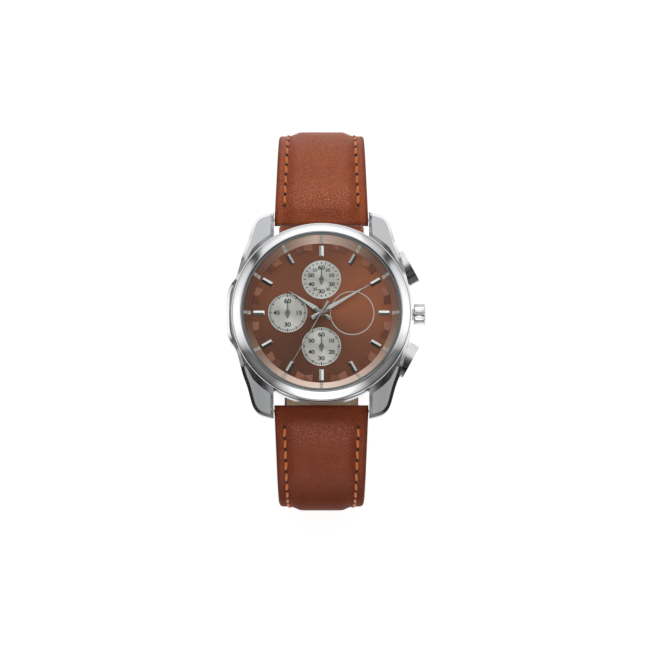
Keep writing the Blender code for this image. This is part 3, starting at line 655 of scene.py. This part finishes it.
def build_case_rings():
    bezel = [(18.66, 7.52), (20.96, 7.52), (21.0, 7.56), (21.0, 8.98), (20.97, 9.1), (20.88, 9.24)]
    for t in (0.15, 0.35, 0.55, 0.75, 1):
        bezel.append((20.88 - 1.86 * t, 9.24 + 1.08 * t + 0.05 * math.sin(math.pi * t)))
    bezel += [(18.93, 10.34), (18.78, 10.33), (18.69, 10.26), (18.66, 10.15)]
    lathe("bezel_ring", bezel, 240, POLISHED, "case", "polished_steel", replaces=["bezel"], angle=34)
    gasket = [(18.17, 9.25), (18.57, 9.25), (18.57, 10.1), (18.5, 10.2), (18.24, 10.2), (18.17, 10.1)]
    lathe("crystal_seal", gasket, 200, RUBBER, "case", "gasket_rubber", replaces=["crystal_gasket"])
    dome = [(r, 10.56 - 0.26 * (r / 17.7) ** 2) for r in range(17, 0, -2)]
    glass = [(r, 9.32) for r in (0, 6, 12, 18.08)]
    glass += [(18.08, 10.1), (17.98, 10.22), (17.7, 10.3), *dome, (0, 10.56)]
    lathe("crystal_pane", glass, 160, GLASS, "case", "crystal_glass", closed=False, replaces=["crystal"])
    back = [(0, 0.0), (11.6, 0.0), (11.7, 0.1), (11.9, 0.1), (12.0, 0.0), (15.3, 0.0), (15.5, 0.03),
            (17.1, 0.33), (17.3, 0.4), (18.45, 0.72), (18.56, 0.8), (18.56, 0.97), (17.5, 1.0), (17.48, 1.6),
            (0, 1.6)]
    made = lathe("case_back", back, 200, [TURNED, POLISHED], "case", "polished_steel", closed=False, angle=24,
                 replaces=["caseback"])
    for face in made.data.polygons:
        face.material_index = int(face.center.xy.length > 15.6 * MM)
    notch = rectangle(14.2, -0.8, 15.0, 0.8)
    cut_with(made, [(notch, -0.3, 0.25, clockwise(-60 * i - 30)) for i in range(6)])


# ---- dial

def build_dial():
    lathe("dial_face", rectangle(0.95, 6.52, 17.38, 6.89), 200, DIAL_BROWN, "case", "dial_brown",
          replaces=["dial"])
    rehaut = [(16.42, 6.98), (17.48, 6.98), (17.5, 7.5), (18.48, 7.56), (18.48, 9.12), (18.2, 8.9)]
    lathe("rehaut", rehaut, 240, REHAUT_BROWN, "case", "dial_brown", replaces=["chapter_ring"])
    build_hour_markers()
    build_blocks()
    for place, at in SUBDIALS.items():
        build_subdial(place, at)
    lathe("dial_circle", rectangle(4.98, DIAL_TOP, 5.2, DIAL_TOP + 0.03), 120, SILVER_INK, "case",
          "subdial_silver", place=Matrix.Translation((7.2, 0, 0)))


def build_hour_markers():
    """Twelve faceted bars with a ridge along the radius and a sloping inner end, and their marks outside."""
    bars, grey, white = bmesh.new(), bmesh.new(), bmesh.new()
    half, inner, outer, ridge = 0.53, 13.3, 15.9, 7.29
    marks = ((grey, 16.47, 17.3, 0.42, 0.1), (white, 17.42, 18.2, 0.36, 0.07))
    for hour in range(12):
        turn = clockwise(30 * hour)
        walls = [(*p, z) for z in (DIAL_TOP - 0.02, 7.1) for p in rectangle(-half, inner, half, outer)]
        add_hull(bars, walls + [(0, inner + 0.3, ridge), (0, outer, ridge)], turn)
        for mesh, near, far, width, lift in marks:
            foot = [(x, y, 6.98 + (y - 16.42) * 1.04) for x, y in rectangle(-width, near, width, far)]
            add_hull(mesh, foot + [(x, y, z + lift) for x, y, z in foot], turn)
    made = piece("hour_bars", bars, [BAR_STEEL, PAINTED_SHADE_FACET, SHADE_STEEL], "case", "polished_steel",
                 replaces=["hour_index_ring"], angle=10, bevel=0.03)
    # The darker facets are painted shade.
    shade_flanks(made, 0.08)
    piece("hour_marks_inner", grey, SILVER_INK, "case", "polished_steel", angle=10)
    piece("hour_marks_outer", white, WHITE_INK, "case", "polished_steel", angle=10)


def shade_flanks(made, least):
    """Painted shade: the second material for the facets that lean towards 6 o'clock, the last material for
    those that lean towards 9.
    """
    last = len(made.data.materials) - 1
    for face in made.data.polygons:
        lean = face.normal
        if lean.z > -0.5 and lean.y < -least:
            face.material_index = 1
        elif lean.z > -0.5 and lean.y <= least and lean.x < -least:
            face.material_index = last


def build_blocks():
    """Raised brown blocks between the hours: two slopes meet in a ridge, with a notch at its inner end."""
    mesh = bmesh.new()
    eave, ridge, low = 7.05, 7.3, DIAL_TOP - 0.02
    for hour in range(12):
        for side in (-7.2, 7.2):
            points = [(*polar(r, 90 + side), z) for r in (14.65, 16.46) for z in (low, eave)]
            points += [(*polar(r, 90), z) for r in (15.2, 16.46) for z in (low, ridge)]
            add_hull(mesh, points, clockwise(30 * hour + 15))
    made = piece("dial_blocks", mesh, [BLOCK_BROWN, BLOCK_SHADE], "case", "dial_brown", angle=8, bevel=0.04)
    # Facets that lean towards 6 or 9 o'clock take the darker copy, painted shade.
    shade_flanks(made, 0.02)


def add_text(mesh, words, size, at, stroke):
    """Flat printed characters, centred on a point of the dial."""
    curve = bpy.data.curves.new("figures", "FONT")
    curve.body = words
    curve.size = size
    curve.align_x, curve.align_y = "CENTER", "CENTER"
    curve.extrude = 0.02
    curve.offset = stroke
    curve.space_character = 0.92
    holder = put_in_scene("figures", curve)
    flat = evaluated_mesh(holder)
    flat.transform(Matrix.Diagonal((1, 0.8, 1, 1)))
    middle = []
    for k in (0, 1):
        along = [v.co[k] for v in flat.vertices]
        middle.append((min(along) + max(along)) / 2)
    flat.transform(Matrix.Translation((at[0] - middle[0], at[1] - middle[1], at[2])))
    mesh.from_mesh(flat)
    bpy.data.objects.remove(holder)
    bpy.data.curves.remove(curve)
    bpy.data.meshes.remove(flat)


# Per counter: figure, height, and place from the counter's centre.
FIGURES = {
    "12": [("60", 1.22, 0, 2.82), ("30", 1.22, 0, -2.82), ("10", 1.08, 2.46, 0.98),
           ("50", 1.08, -2.42, 0.98), ("20", 1.08, 2.4, -1.12), ("40", 1.08, -2.36, -1.12),
           ("05", 0.88, 1.5, 2.2), ("55", 0.88, -1.5, 2.2), ("25", 0.88, 1.52, -2.3),
           ("35", 0.88, -1.5, -2.3)],
    "9": [("60", 1.28, 0, 2.8), ("30", 1.22, 0, -2.75), ("15", 1.22, 2.72, 0.02), ("45", 1.22, -2.6, 0.02)],
    "6": [("60", 1.22, 0, 2.82), ("30", 1.22, 0, -2.8), ("10", 1.12, 2.44, 1.34), ("50", 1.12, -2.36, 1.34),
          ("20", 1.12, 2.38, -1.3), ("40", 1.12, -2.36, -1.3)],
}


def build_subdial(place, at):
    shift = Matrix.Translation((*at, 0))
    face = [(0, 6.94), (4.5, 6.94), (4.5, SUBDIAL_TOP), (0.25, SUBDIAL_TOP), (0, SUBDIAL_TOP)]
    lathe("subdial_face_" + place, face, 96, SUBDIAL_SILVER[place], "case", "subdial_silver", closed=False,
          place=shift, replaces=["subdial_disc_" + place])
    rim = [(4.48, 6.92), (4.64, 6.92), (4.63, 7.06), (4.58, 7.12), (4.5, 7.11)]
    lathe("subdial_rim_" + place, rim, 96, POLISHED, "case", "subdial_silver", place=shift)
    mesh = bmesh.new()
    count = 24 if place == "12" else 60
    bold, fine = (3.75, 4.38, 0.13), (3.92, 4.36, 0.075)
    for i in range(count):
        inner, outer, half = (3.66, 4.12, 0.1) if count == 24 else bold if i % 5 == 0 else fine
        add_prism(mesh, rectangle(-half, inner, half, outer), SUBDIAL_TOP + 0.002, SUBDIAL_TOP + 0.022,
                  place=clockwise(360 // count * i))
    for words, size, x, y in FIGURES[place]:
        add_text(mesh, words, 1.4 * size, (x, y, SUBDIAL_TOP + 0.02), 0.018 if size < 1 else 0.034)
    piece("subdial_print_" + place, mesh, INK, "case", "subdial_silver", place=shift, angle=60, oriented=True)


# ---- hands

def add_blade(mesh, rows, z, rise):
    """Faceted blade along +Y: rows are (y, half width); a ridge runs down the middle."""
    rings = []
    for y, half in rows:
        ridge = z + 0.1 + rise * min(1.0, half / 0.5)
        section = ((-half, z), (half, z), (half, z + 0.08), (0, ridge), (-half, z + 0.08))
        rings.append([mesh.verts.new((x, y, height)) for x, height in section])
    add_skin(mesh, rings)
    mesh.faces.new(rings[0])
    mesh.faces.new(rings[-1])


def build_hand(node, body, z, angle, tip, widest, lume_end, hub_r):
    mesh = bmesh.new()
    add_blade(mesh, [(0.1, 0.36), (1.3, 0.54), (1.75, widest), (0.5 * tip, widest * 0.6), (0.8 * tip, 0.2),
                     (tip, 0.05)], z, 0.2)
    add_blade(mesh, [(-2.6, 0.46), (-2.5, 0.5), (-1.0, 0.4), (-0.1, 0.34)], z, 0.2)
    hub = [(0, z - 0.02), (hub_r, z - 0.02), (hub_r, z + 0.2), (hub_r - 0.08, z + 0.27), (0, z + 0.27)]
    add_lathe(mesh, hub, 40, closed=False)
    place = clockwise(angle)
    made = piece(node + "_shape", mesh, [HAND_STEEL, SHADE_STEEL], body, "polished_steel", place, angle=16,
                 replaces=[node])
    # The facets that lean towards 6 or 9 o'clock take the darker steel, painted shade.
    shade_flanks(made, 0.12)
    lume = bmesh.new()
    add_prism(lume, [(-0.4, 1.9), (0.4, 1.9), (0.1, lume_end), (-0.1, lume_end)], z + 0.1, z + 0.32)
    piece(node + "_shape_lume", lume, LUME, body, "polished_steel", place, bevel=0.02)


def build_hands():
    build_hand("hour_hand", "hour_pipe", 7.6, HOUR_ANGLE, 9.2, 0.68, 6.5, 0.6)
    build_hand("minute_hand", "minute_arbor", 8.1, MINUTE_ANGLE, 13.2, 0.6, 10.4, 0.5)
    mesh = bmesh.new()
    z = 8.6
    add_blade(mesh, [(0.2, 0.13), (13.7, 0.07)], z, 0.04)
    add_blade(mesh, [(-3.05, 0.22), (-2.7, 0.27), (-0.7, 0.17), (-0.2, 0.14)], z, 0.05)
    hub = [(0, -0.1), (0.4, -0.1), (0.4, 0.12), (0.33, 0.2), (0.2, 0.22), (0.16, 0.17), (0, 0.16)]
    add_lathe(mesh, [(radius, z + up) for radius, up in hub], 36, closed=False)
    piece("chrono_hand_shape", mesh, HAND_STEEL, "chrono_arbor", "dark_hand", clockwise(CHRONO_ANGLE),
          angle=20, replaces=["chrono_seconds_hand"])
    for node, place, body in (("hour_counter_hand", "12", "hour_counter"),
                              ("minute_counter_hand", "9", "minute_counter"),
                              ("running_seconds_hand", "6", "seconds_arbor")):
        mesh = bmesh.new()
        right = [(0.5, -0.28), (0.58, 0.0), (0.42, 0.4), (0.13, 0.75), (0.1, 2.4)]
        kite = [(0, -1.42), *right, (0, 2.62), *[(-x, y) for x, y in reversed(right)]]
        window = [(0, -0.78), (0.3, -0.2), (0.32, 0.0), (0.2, 0.26), (-0.2, 0.26), (-0.32, 0.0), (-0.3, -0.2)]
        add_prism(mesh, kite, 7.34, 7.45, holes=[window])
        add_lathe(mesh, [(0, 7.3), (0.24, 7.3), (0.24, 7.5), (0.16, 7.56), (0, 7.57)], 20, closed=False)
        piece(node + "_shape", mesh, DARK_HAND, body, "dark_hand", Matrix.Translation((*SUBDIALS[place], 0)),
              replaces=[node], bevel=0.012)


# ---- crown and pushers

def build_crown():
    """Fluted crown: fourteen broad ridges with narrow grooves between them, rounded at both ends."""
    # (radius, distance from the centre, share of the grooves' depth)
    profile = [(0, 21.62, 0), (1.5, 21.62, 0), (2.2, 21.62, 0), (2.44, 21.68, 0.4), (2.56, 21.8, 0.9),
               (2.6, 21.95, 1), (2.6, 23.0, 1), (2.6, 23.98, 1), (2.54, 24.14, 0.9), (2.4, 24.28, 0.4),
               (2.05, 24.38, 0), (1.6, 24.44, 0), (0.9, 24.47, 0), (0, 24.48, 0)]
    flutes, depth = 14, 0.42
    mesh = bmesh.new()
    rows = []
    for radius, z, share in profile:
        rows.append(add_ring(mesh, radius, z, 20 * flutes, lambda degrees: depth * share * max(
            0.0, math.cos(flutes * math.radians(degrees))) ** 3))
    add_skin(mesh, rows)
    piece("crown_shape", mesh, POLISHED, "crown_and_stem", "polished_steel", along_spoke(0), angle=38,
          replaces=["crown"])
    neck = [(0.6, 18.0), (1.38, 18.0), (1.38, 21.0), (1.28, 21.1), (1.28, 21.25), (1.38, 21.35),
            (1.38, 21.5), (1.28, 21.56), (0.6, 21.56)]
    lathe("crown_neck", neck, 48, TURNED, "case", "brushed_steel", place=along_spoke(0),
          replaces=["crown_tube"])


def crowned_rectangle(middle, end, half_length, radius):
    """Outline along Y whose two long sides bulge from half width end to half width middle."""
    corner = [polar(radius, a, (end - radius, half_length - radius)) for a in (0, 22.5, 45, 67.5, 90)]
    side = []
    for i in range(1, 8):
        y = (half_length - radius) * (2 * i / 8 - 1)
        side.append((middle - (middle - end) * (y / half_length) ** 2, y))
    quarter = [(x, -y) for x, y in corner[::-1]] + side + corner
    return quarter + [(-x, -y) for x, y in quarter]


def build_pushers():
    """Buttons with a wide cap, crowned above and below, with a recess that clears the tube when pressed."""
    for name, degrees in (("2", PUSHER_ANGLE), ("4", -PUSHER_ANGLE)):
        place = along_spoke(degrees)
        mesh = bmesh.new()
        add_prism(mesh, crowned_rectangle(1.8, 1.42, 4.1, 0.45), 21.45, 23.9)
        cap = piece("pusher_cap_" + name, mesh, POLISHED, "pusher_" + name, "polished_steel", place,
                    replaces=["pusher_button_" + name])
        cut_with(cap, [(circle(TUBE_R, 40), 21.0, 22.3, place)])
        soften(cap, 0.26)
        stem = [(0, 17.0), (0.56, 17.0), (0.58, 17.35), (0.42, 17.37), (0.42, 17.68), (0.58, 17.7),
                (0.58, 22.4), (0, 22.4)]
        lathe("pusher_stem_" + name, stem, 36, TURNED, "pusher_" + name, "polished_steel", closed=False,
              place=place)


# ---- strap

# Runs of the centreline from the bar on: (length, turn in degrees, downwards negative).
STRAP_RUNS = {
    "short": [(14.1, -10), (13.56, -74), (14, -20), (18.33, -70), (16.11, 0)],
    "long": [(13, -10), (13.56, -74), (28.7, -20), (15.88, -70), (46.86, 0)],
}
LENGTH = {"short": 76.1, "long": 118.0}
SIDE = {"short": 1, "long": -1}  # 12 o'clock and 6 o'clock
BODY = {"short": "strap_12", "long": "strap_6"}


def strap_point(half, s):
    """Centreline (y, z, heading) of a strap half at the length s from its bar, as if at 12 o'clock."""
    y, z, heading = BAR_Y, BAR_Z, math.radians(-6)
    for length, turn in STRAP_RUNS[half]:
        step = min(s, length)
        bend = math.radians(turn) * step / length
        chord = step * math.sin(bend / 2) / (bend / 2) if bend else step
        y += chord * math.cos(heading + bend / 2)
        z += chord * math.sin(heading + bend / 2)
        heading += bend
        s -= step
    return y + s * math.cos(heading), z + s * math.sin(heading), heading


def strap_half_width(half, s):
    width = 18 + 4 * (1 - min(max(s, 0), 80) / 80) ** 1.8
    tail = s - (LENGTH["long"] - 10)
    if half == "long" and tail > 0:
        width *= math.sqrt(max(0.0, 1 - (tail / 10.2) ** 2))
    return width / 2


def strap_half_thickness(half, s):
    full = 1.3 + 0.8 * (1 - min(s, 60) / 60) ** 1.5
    if s < 0:
        return math.sqrt(max(0.0, 1.5**2 - s**2))
    if s < 5:
        return 1.5 + (full - 1.5) * (s / 5) ** 0.7
    past = s - LENGTH["short"]
    if half == "short" and past > 0:
        return math.sqrt(max(0.0, 1.3**2 - past**2))
    return full


def strap_frame(half, s):
    """Centre, upward normal and direction of a strap half at the length s from its bar."""
    y, z, heading = strap_point(half, s)
    side = SIDE[half]
    return (Vector((0, y * side, z)), Vector((0, -math.sin(heading) * side, math.cos(heading))),
            Vector((0, math.cos(heading) * side, math.sin(heading))))


def strap_surface(half, s, x, top):
    """Point, outward normal and direction on the strap's upper or lower face, x across it."""
    middle, normal, along = strap_frame(half, s)
    up = strap_up(half, s, x) if top else -strap_half_thickness(half, s)
    return middle + Vector((x, 0, 0)) + normal * up, normal if top else -normal, along


def strap_up(half, s, x):
    """Height of the upper face above the centreline: padded in the middle, with a low flange at each edge."""
    h = strap_half_thickness(half, s) + 0.85 * ease(0.6, 6.2, s) * ease(21, 7, s)
    h -= 0.3 * ease(2.4, 0.2, s) * ease(-1.4, 0.0, s)
    if half == "long":
        h -= 0.3 * ease(12, 20, s) * ease(60, 40, s)
    w = strap_half_width(half, s)
    end = LENGTH[half]
    pad = 0.88 * ease(62, 30, s) + 0.22 * ease(30, 62, s)
    pad *= ease(1.2, 8.0, s) * ease(end - 2, end - 9, s)
    rise = ease(2.3, 5.2, w - abs(x))
    crown = 0.1 * ease(0, 1, 1 - (abs(x) / w) ** 2) if w > 0.5 else 0.0
    return h - min(pad, h) * (1 - rise) - min(0.1, 0.3 * h) + crown


def strap_rows(half):
    """Lengths along the strap at which it has a row of points."""
    end = LENGTH[half] + (1.28 if half == "short" else 0.0)
    rows = [-1.46, -1.38, -1.2, -0.9, -0.5, 0.0, 0.6, 1.2, 1.8]
    s = 2.4
    while s < end - 1.6:
        rows.append(s)
        s += 0.9
    tail = (1.4, 1.0, 0.7, 0.4, 0.2, 0.05) if half == "short" else (1.4, 1.0, 0.7, 0.45, 0.25, 0.1, 0.02)
    return rows + [end - back for back in tail]


def build_strap_half(half, main):
    """A strap half as a closed skin: padded upper leather, painted edges and pale lining."""
    name = "strap_" + half
    mesh = bmesh.new()
    edge = mesh.verts.layers.float.new("edge")
    painted_highlight = mesh.verts.layers.float.new("painted_highlight")
    across, lining = 30, 12
    rows = []
    for s in strap_rows(half):
        w = strap_half_width(half, max(s, -1.0))
        h = strap_half_thickness(half, s)
        middle, normal, _ = strap_frame(half, s)
        corner = min(0.5, 0.45 * h, 0.45 * w)
        # bend darkens where the strap curves down and, on the 6 o'clock half, next to the bar: painted shade.
        bend = 0.3 * ease(14, 22, s) * ease(60, 34, s)
        if half == "long":
            bend = max(0.95 * ease(13, 21, s) * ease(60, 34, s), 0.5 * ease(5, 1.5, s))
        points = []
        for k in range(across + 1):
            t = 2 * k / across - 1
            x = (w - corner) * (1.12 * t - 0.12 * t**3)
            margin = w - abs(x)
            # Painted shade in the valley beside the stitching.
            painted_valley_shade = 0.4 * ease(5.4, 3.2, margin) * ease(1.5, 2.4, margin)
            arch = ease(1.2, 3.2, s - 0.12 * abs(x) * ease(4, 9, abs(x)))
            # A painted highlight on the padded middle near the bar.
            painted_highlight_level = 0.6 * arch * ease(11, 4, s) * ease(2.2, 4.4, margin)
            points.append((x, strap_up(half, s, x), 0.7 * ease(1.1, 0.3, margin) + painted_valley_shade, painted_highlight_level))
        high = strap_up(half, s, w)
        rim = [(w - 0.3 * corner, high - 0.3 * corner, 0.9, 0), (w, high - corner, 1.0, 0),
               (w, -h + 0.9 * corner, 1.0, 0), (w - 0.35 * corner, -h + 0.25 * corner, 0.9, 0)]
        points += rim + [((w - corner) * (1 - 2 * k / lining), -h, 0.0, 0) for k in range(lining + 1)]
        points += [(-x, *rest) for x, *rest in reversed(rim)]
        row = []
        for x, up, dark, painted_highlight_level in points:
            vert = mesh.verts.new(middle + Vector((x, 0, 0)) + normal * up)
            vert[edge] = max(dark, bend)
            vert[painted_highlight] = painted_highlight_level
            row.append(vert)
        rows.append(row)
    upper, lined, painted = range(3)
    bands = [upper] * (across + 1) + [painted] * 2 + [lined] * (lining + 2) + [painted] * 4 + [upper]
    for i, face in enumerate(add_skin(mesh, rows)):
        face.material_index = bands[i % len(bands)]
    for cap in (rows[0], rows[-1]):
        mesh.faces.new(cap).material_index = painted
    made = piece(name + "_leather", mesh, [main, LINING, PAINTED_EDGE], BODY[half], "strap_leather", angle=50,
                 replaces=[name])
    return made


def add_capsule(mesh, middle, along, normal, length, radius, squash):
    """Rounded thread lying on a surface."""
    sideways = normal.cross(along).normalized()
    rings = []
    for t in (-0.5, -0.42, -0.28, 0.0, 0.28, 0.42, 0.5):
        size = math.sqrt(max(0.0, 1 - (2 * abs(t)) ** 3.2)) * radius
        centre = middle + along * (t * length)
        if size < 1e-3:
            rings.append([mesh.verts.new(centre)] * 8)
            continue
        turns = [polar(size, 45 * k) for k in range(8)]
        rings.append([mesh.verts.new(centre + sideways * a + normal * (b * squash)) for a, b in turns])
    add_skin(mesh, rings)


def build_stitching(half):
    """Two lines of thread, above and below, with a dark oval of painted shade for each needle hole between
    stitches.
    """
    name, body = "strap_" + half, BODY[half]
    top, holes, below = bmesh.new(), bmesh.new(), bmesh.new()
    pitch, first = 2.55, 3.0 if half == "short" else 3.6
    last = LENGTH[half] - (4.0 if half == "short" else 8.5)
    count = int((last - first) / pitch)
    jitter = random.Random(7)
    for edge in (1, -1):
        for i in range(count + 1):
            s = first + pitch * i
            x = edge * (strap_half_width(half, s) - 2.2)
            spot, normal, along = strap_surface(half, s, x, True)
            # Dark oval standing for the shade inside a needle hole: painted shade.
            add_capsule(holes, spot, along, normal, 0.8, 0.31, 0.35)
            if i == count:
                continue
            s += pitch / 2
            x = edge * (strap_half_width(half, s) - 2.2)
            slant = 0.07 * edge + jitter.uniform(-0.04, 0.04)
            for mesh, upper, lift in ((top, True, 0.1), (below, False, 0.02)):
                spot, normal, along = strap_surface(half, s, x, upper)
                lean = (along + Vector((slant, 0, 0))).normalized()
                add_capsule(mesh, spot + normal * lift, lean, normal, pitch * 0.8, 0.32, 0.62)
    for kind, mesh, material in (("_stitching", top, THREAD), ("_needle_hole_shade", holes, NEEDLE_HOLE_SHADE),
                                 ("_lining_stitching", below, PALE_THREAD)):
        piece(name + kind, mesh, material, body, "strap_leather", angle=60)


def build_strap():
    build_strap_half("short", STRAP)
    long = build_strap_half("long", STRAP_PAINTED_SHADE)
    spots = [strap_frame("long", 75 + 5.5 * i)[0] for i in range(7)]
    cut_with(long, [(circle(1.1, 28), -4, 4, Matrix.Translation(spot)) for spot in spots])
    build_stitching("short")
    build_stitching("long")
    end_y, end_z, _ = strap_point("short", LENGTH["short"])
    build_keeper("keeper_fixed", end_y + 6.0, 3.6, "strap_12", end_z)
    build_keeper("keeper_free", end_y + 13.6, 4.0, "keeper", end_z)
    build_buckle(end_y, end_z)


def build_keeper(name, middle_y, width, body, strap_z):
    """Leather loop with rounded faces and darker rims."""
    high, low, half_x, skin = strap_z + 1.45, strap_z - 4.5, 9.5, 0.8
    inner = rounded_rectangle(2 * half_x, high - low, 0.5, 8)
    outer = rounded_rectangle(2 * (half_x + skin), high - low + 2 * skin, 1.5, 8)
    # (share of the way from the inner face to the outer one, share of the width)
    profile = [(0.0, -0.5), (0.0, 0.5), (0.06, 0.5), (0.5, 0.47), (0.9, 0.4), (1.0, 0.25), (1.0, 0.0),
               (1.0, -0.25), (0.9, -0.4), (0.5, -0.47), (0.06, -0.5)]
    mesh = bmesh.new()
    edge = mesh.verts.layers.float.new("edge")
    rows = []
    for share, depth in profile:
        row = []
        for (xi, zi), (xo, zo) in zip(inner, outer):
            x, z = xi + (xo - xi) * share, zi + (zo - zi) * share
            vert = mesh.verts.new((x, middle_y + depth * width, z + (high + low) / 2))
            vert[edge] = 0.6 * ease(0.3, 0.48, abs(depth))
            row.append(vert)
        rows.append(row)
    add_skin(mesh, rows, closed=True)
    piece(name + "_leather", mesh, STRAP, body, "strap_leather", angle=50, replaces=[name])


def build_buckle(end_y, end_z):
    """Rectangular frame with a bowed far side, and a bent tang round the bar."""
    half, arm = 11.2, 1.7
    inner = half - arm
    right = [(0, -11.9), (5.0, -11.85), (9.2, -11.5), (10.6, -10.7), (half, -9.2), (half, 1.2),
             (half - 0.4, 1.5), (inner + 0.3, 1.5), (inner, 1.2), (inner, -8.6), (inner - 0.4, -9.0),
             (5, -9.25), (0, -9.3)]
    at_bar = Matrix.Translation((0, end_y, end_z))
    mesh = bmesh.new()
    add_prism(mesh, right + [(-x, y) for x, y in reversed(right) if x > 0], -1.1, 1.1)
    piece("buckle_shape", mesh, POLISHED, "buckle", "polished_steel", at_bar,
          replaces=["buckle_frame"], bevel=0.4)
    tang = [polar(1.3, a) for a in range(-125, 200, 13)]
    tang += [(-4.0, -0.62), (-8.6, -1.15), (-12.0, -1.15), (-12.25, -1.4), (-12.15, -1.75), (-8.4, -2.08),
             (-4.0, -1.6)]
    mesh = bmesh.new()
    on_edge = Matrix(((0, 0, 1, 0), (1, 0, 0, 0), (0, 1, 0, 0), (0, 0, 0, 1)))
    add_prism(mesh, tang, -0.8, 0.8, holes=[circle(0.78, 24)], place=at_bar @ on_edge)
    piece("tang_shape", mesh, POLISHED, "tang", "polished_steel", replaces=["buckle_tang"], bevel=0.22)


# ---- carried-over nodes

def paint_nodes():
    """Give every CAD node that stays the node material of its finish."""
    by_slot = {"brushed_steel": TURNED, "polished_steel": POLISHED, "dark_hand": DARK_HAND,
               "movement_brass": BRASS, "cell_nickel": NICKEL, "coil_copper": COPPER,
               "dial_brown": DIAL_BROWN, "subdial_silver": SUBDIAL_SILVER["12"],
               "gasket_rubber": BLACK_RUBBER, "holder_plastic": PLASTIC, "circuit_green": GREEN,
               "strap_leather": STRAP, "crystal_glass": GLASS}
    for part in frame["record"]["subparts"]:
        data = nodes[part["node"]].data
        data.materials.clear()
        data.materials.append(by_slot[part["material_slot"]])


# ---- stage

def build_stage():
    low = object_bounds()[0].z
    mesh = bmesh.new()
    bmesh.ops.create_grid(mesh, x_segments=2, y_segments=2, size=4.0 / MM)
    data = in_metres("floor", mesh)
    floor = put_in_scene("floor", data)
    floor.location.z = low
    paint = new_material("floor_paint", (0.4, 0.4, 0.4), 0.9, Emission_Color=(1, 1, 1, 1),
                         Emission_Strength=0.8)[0]
    data.materials.append(paint)


# Brightness of the sky: by angle counterclockwise from 3 o'clock, and by the sine of the height above the
# horizon on the 12 o'clock side and on the 6 o'clock side.
SKY_SIDES = [(-180, 1.05), (-168, 0.7), (-160, 0.1), (-130, 0.09), (-118, 0.4), (-100, 0.95), (-90, 1.0),
             (-80, 0.95), (-62, 0.45), (-50, 0.11), (-20, 0.12), (-12, 0.65), (0, 1.1), (12, 1.1),
             (28, 0.85), (41, 0.6), (44, 0.1), (48, 0.06), (51, 0.5), (72, 0.85), (90, 1.0), (108, 0.85),
             (129, 0.5), (132, 0.06), (136, 0.1), (139, 0.55), (152, 0.8), (168, 1.05)]
NORTH_HEIGHTS = [(0.0, 0.3), (0.22, 0.45), (0.38, 1.15), (0.5, 1.3), (0.6, 1.15), (0.8, 1.1), (0.94, 1.15),
                 (0.972, 1.0), (0.988, 0.12), (1.0, 0.04)]
SOUTH_HEIGHTS = [(0.0, 0.2), (0.25, 0.2), (0.45, 0.9), (0.56, 2.1), (0.72, 2.6), (0.82, 1.1), (0.9, 0.75),
                 (0.945, 0.55), (0.97, 0.4), (0.99, 0.1), (1.0, 0.03)]


def build_sky():
    """Soft boxes on four sides with darker gaps between them, and a dark spot overhead."""
    world = bpy.data.worlds.new("studio")
    scene.world = world
    world.use_nodes = True
    tree = world.node_tree
    x, y, height = add(tree, "SeparateXYZ", Vector=add(tree, "TexCoord").outputs["Generated"]).outputs
    turn = maths("MULTIPLY_ADD", maths("ARCTAN2", y, x), 1 / TAU, 0.5)
    sides = ramp_of(turn, [((degrees + 180) / 360, level) for degrees, level in SKY_SIDES])
    southern = smooth_range(y, -0.15, -0.45)
    level = mixed(southern, ramp_of(height, NORTH_HEIGHTS), ramp_of(height, SOUTH_HEIGHTS))
    low = mixed(1.0, sides, level, "MULTIPLY")
    seen = mixed(add(tree, "LightPath").outputs["Is Camera Ray"], low, (0.95, 0.95, 0.95))
    connect(tree.nodes["Background"], Color=seen, Strength=1.0)


def build_key_light():
    """One large soft box, high beyond 12 o'clock, aimed at the watch."""
    data = bpy.data.lights.new("key_soft_box", "AREA")
    data.shape = "SQUARE"
    data.size = 1.0
    data.energy = 0.85
    made = put_in_scene("key_soft_box", data)
    made.location = (-0.1, 0.85, 0.3)
    made.rotation_euler = (-made.location).to_track_quat("-Z", "Y").to_euler()


def build_camera():
    tilt, distance = math.radians(8.0), 1.1
    target = Vector((0.25, -2.4, 8.0)) * MM
    camera = put_in_scene("camera", bpy.data.cameras.new("camera"))
    camera.location = target + Vector((0, -math.sin(tilt), math.cos(tilt))) * distance
    camera.rotation_euler = (tilt, 0, 0)
    camera.data.lens = 263
    camera.data.sensor_width = 36
    camera.data.clip_start, camera.data.clip_end = 0.01, 20
    scene.camera = camera


paint_nodes()
build_case()
build_case_rings()
build_dial()
build_hands()
build_crown()
build_pushers()
build_strap()
build_stage()
build_sky()
build_key_light()
build_camera()
scene.view_settings.view_transform = "Standard"
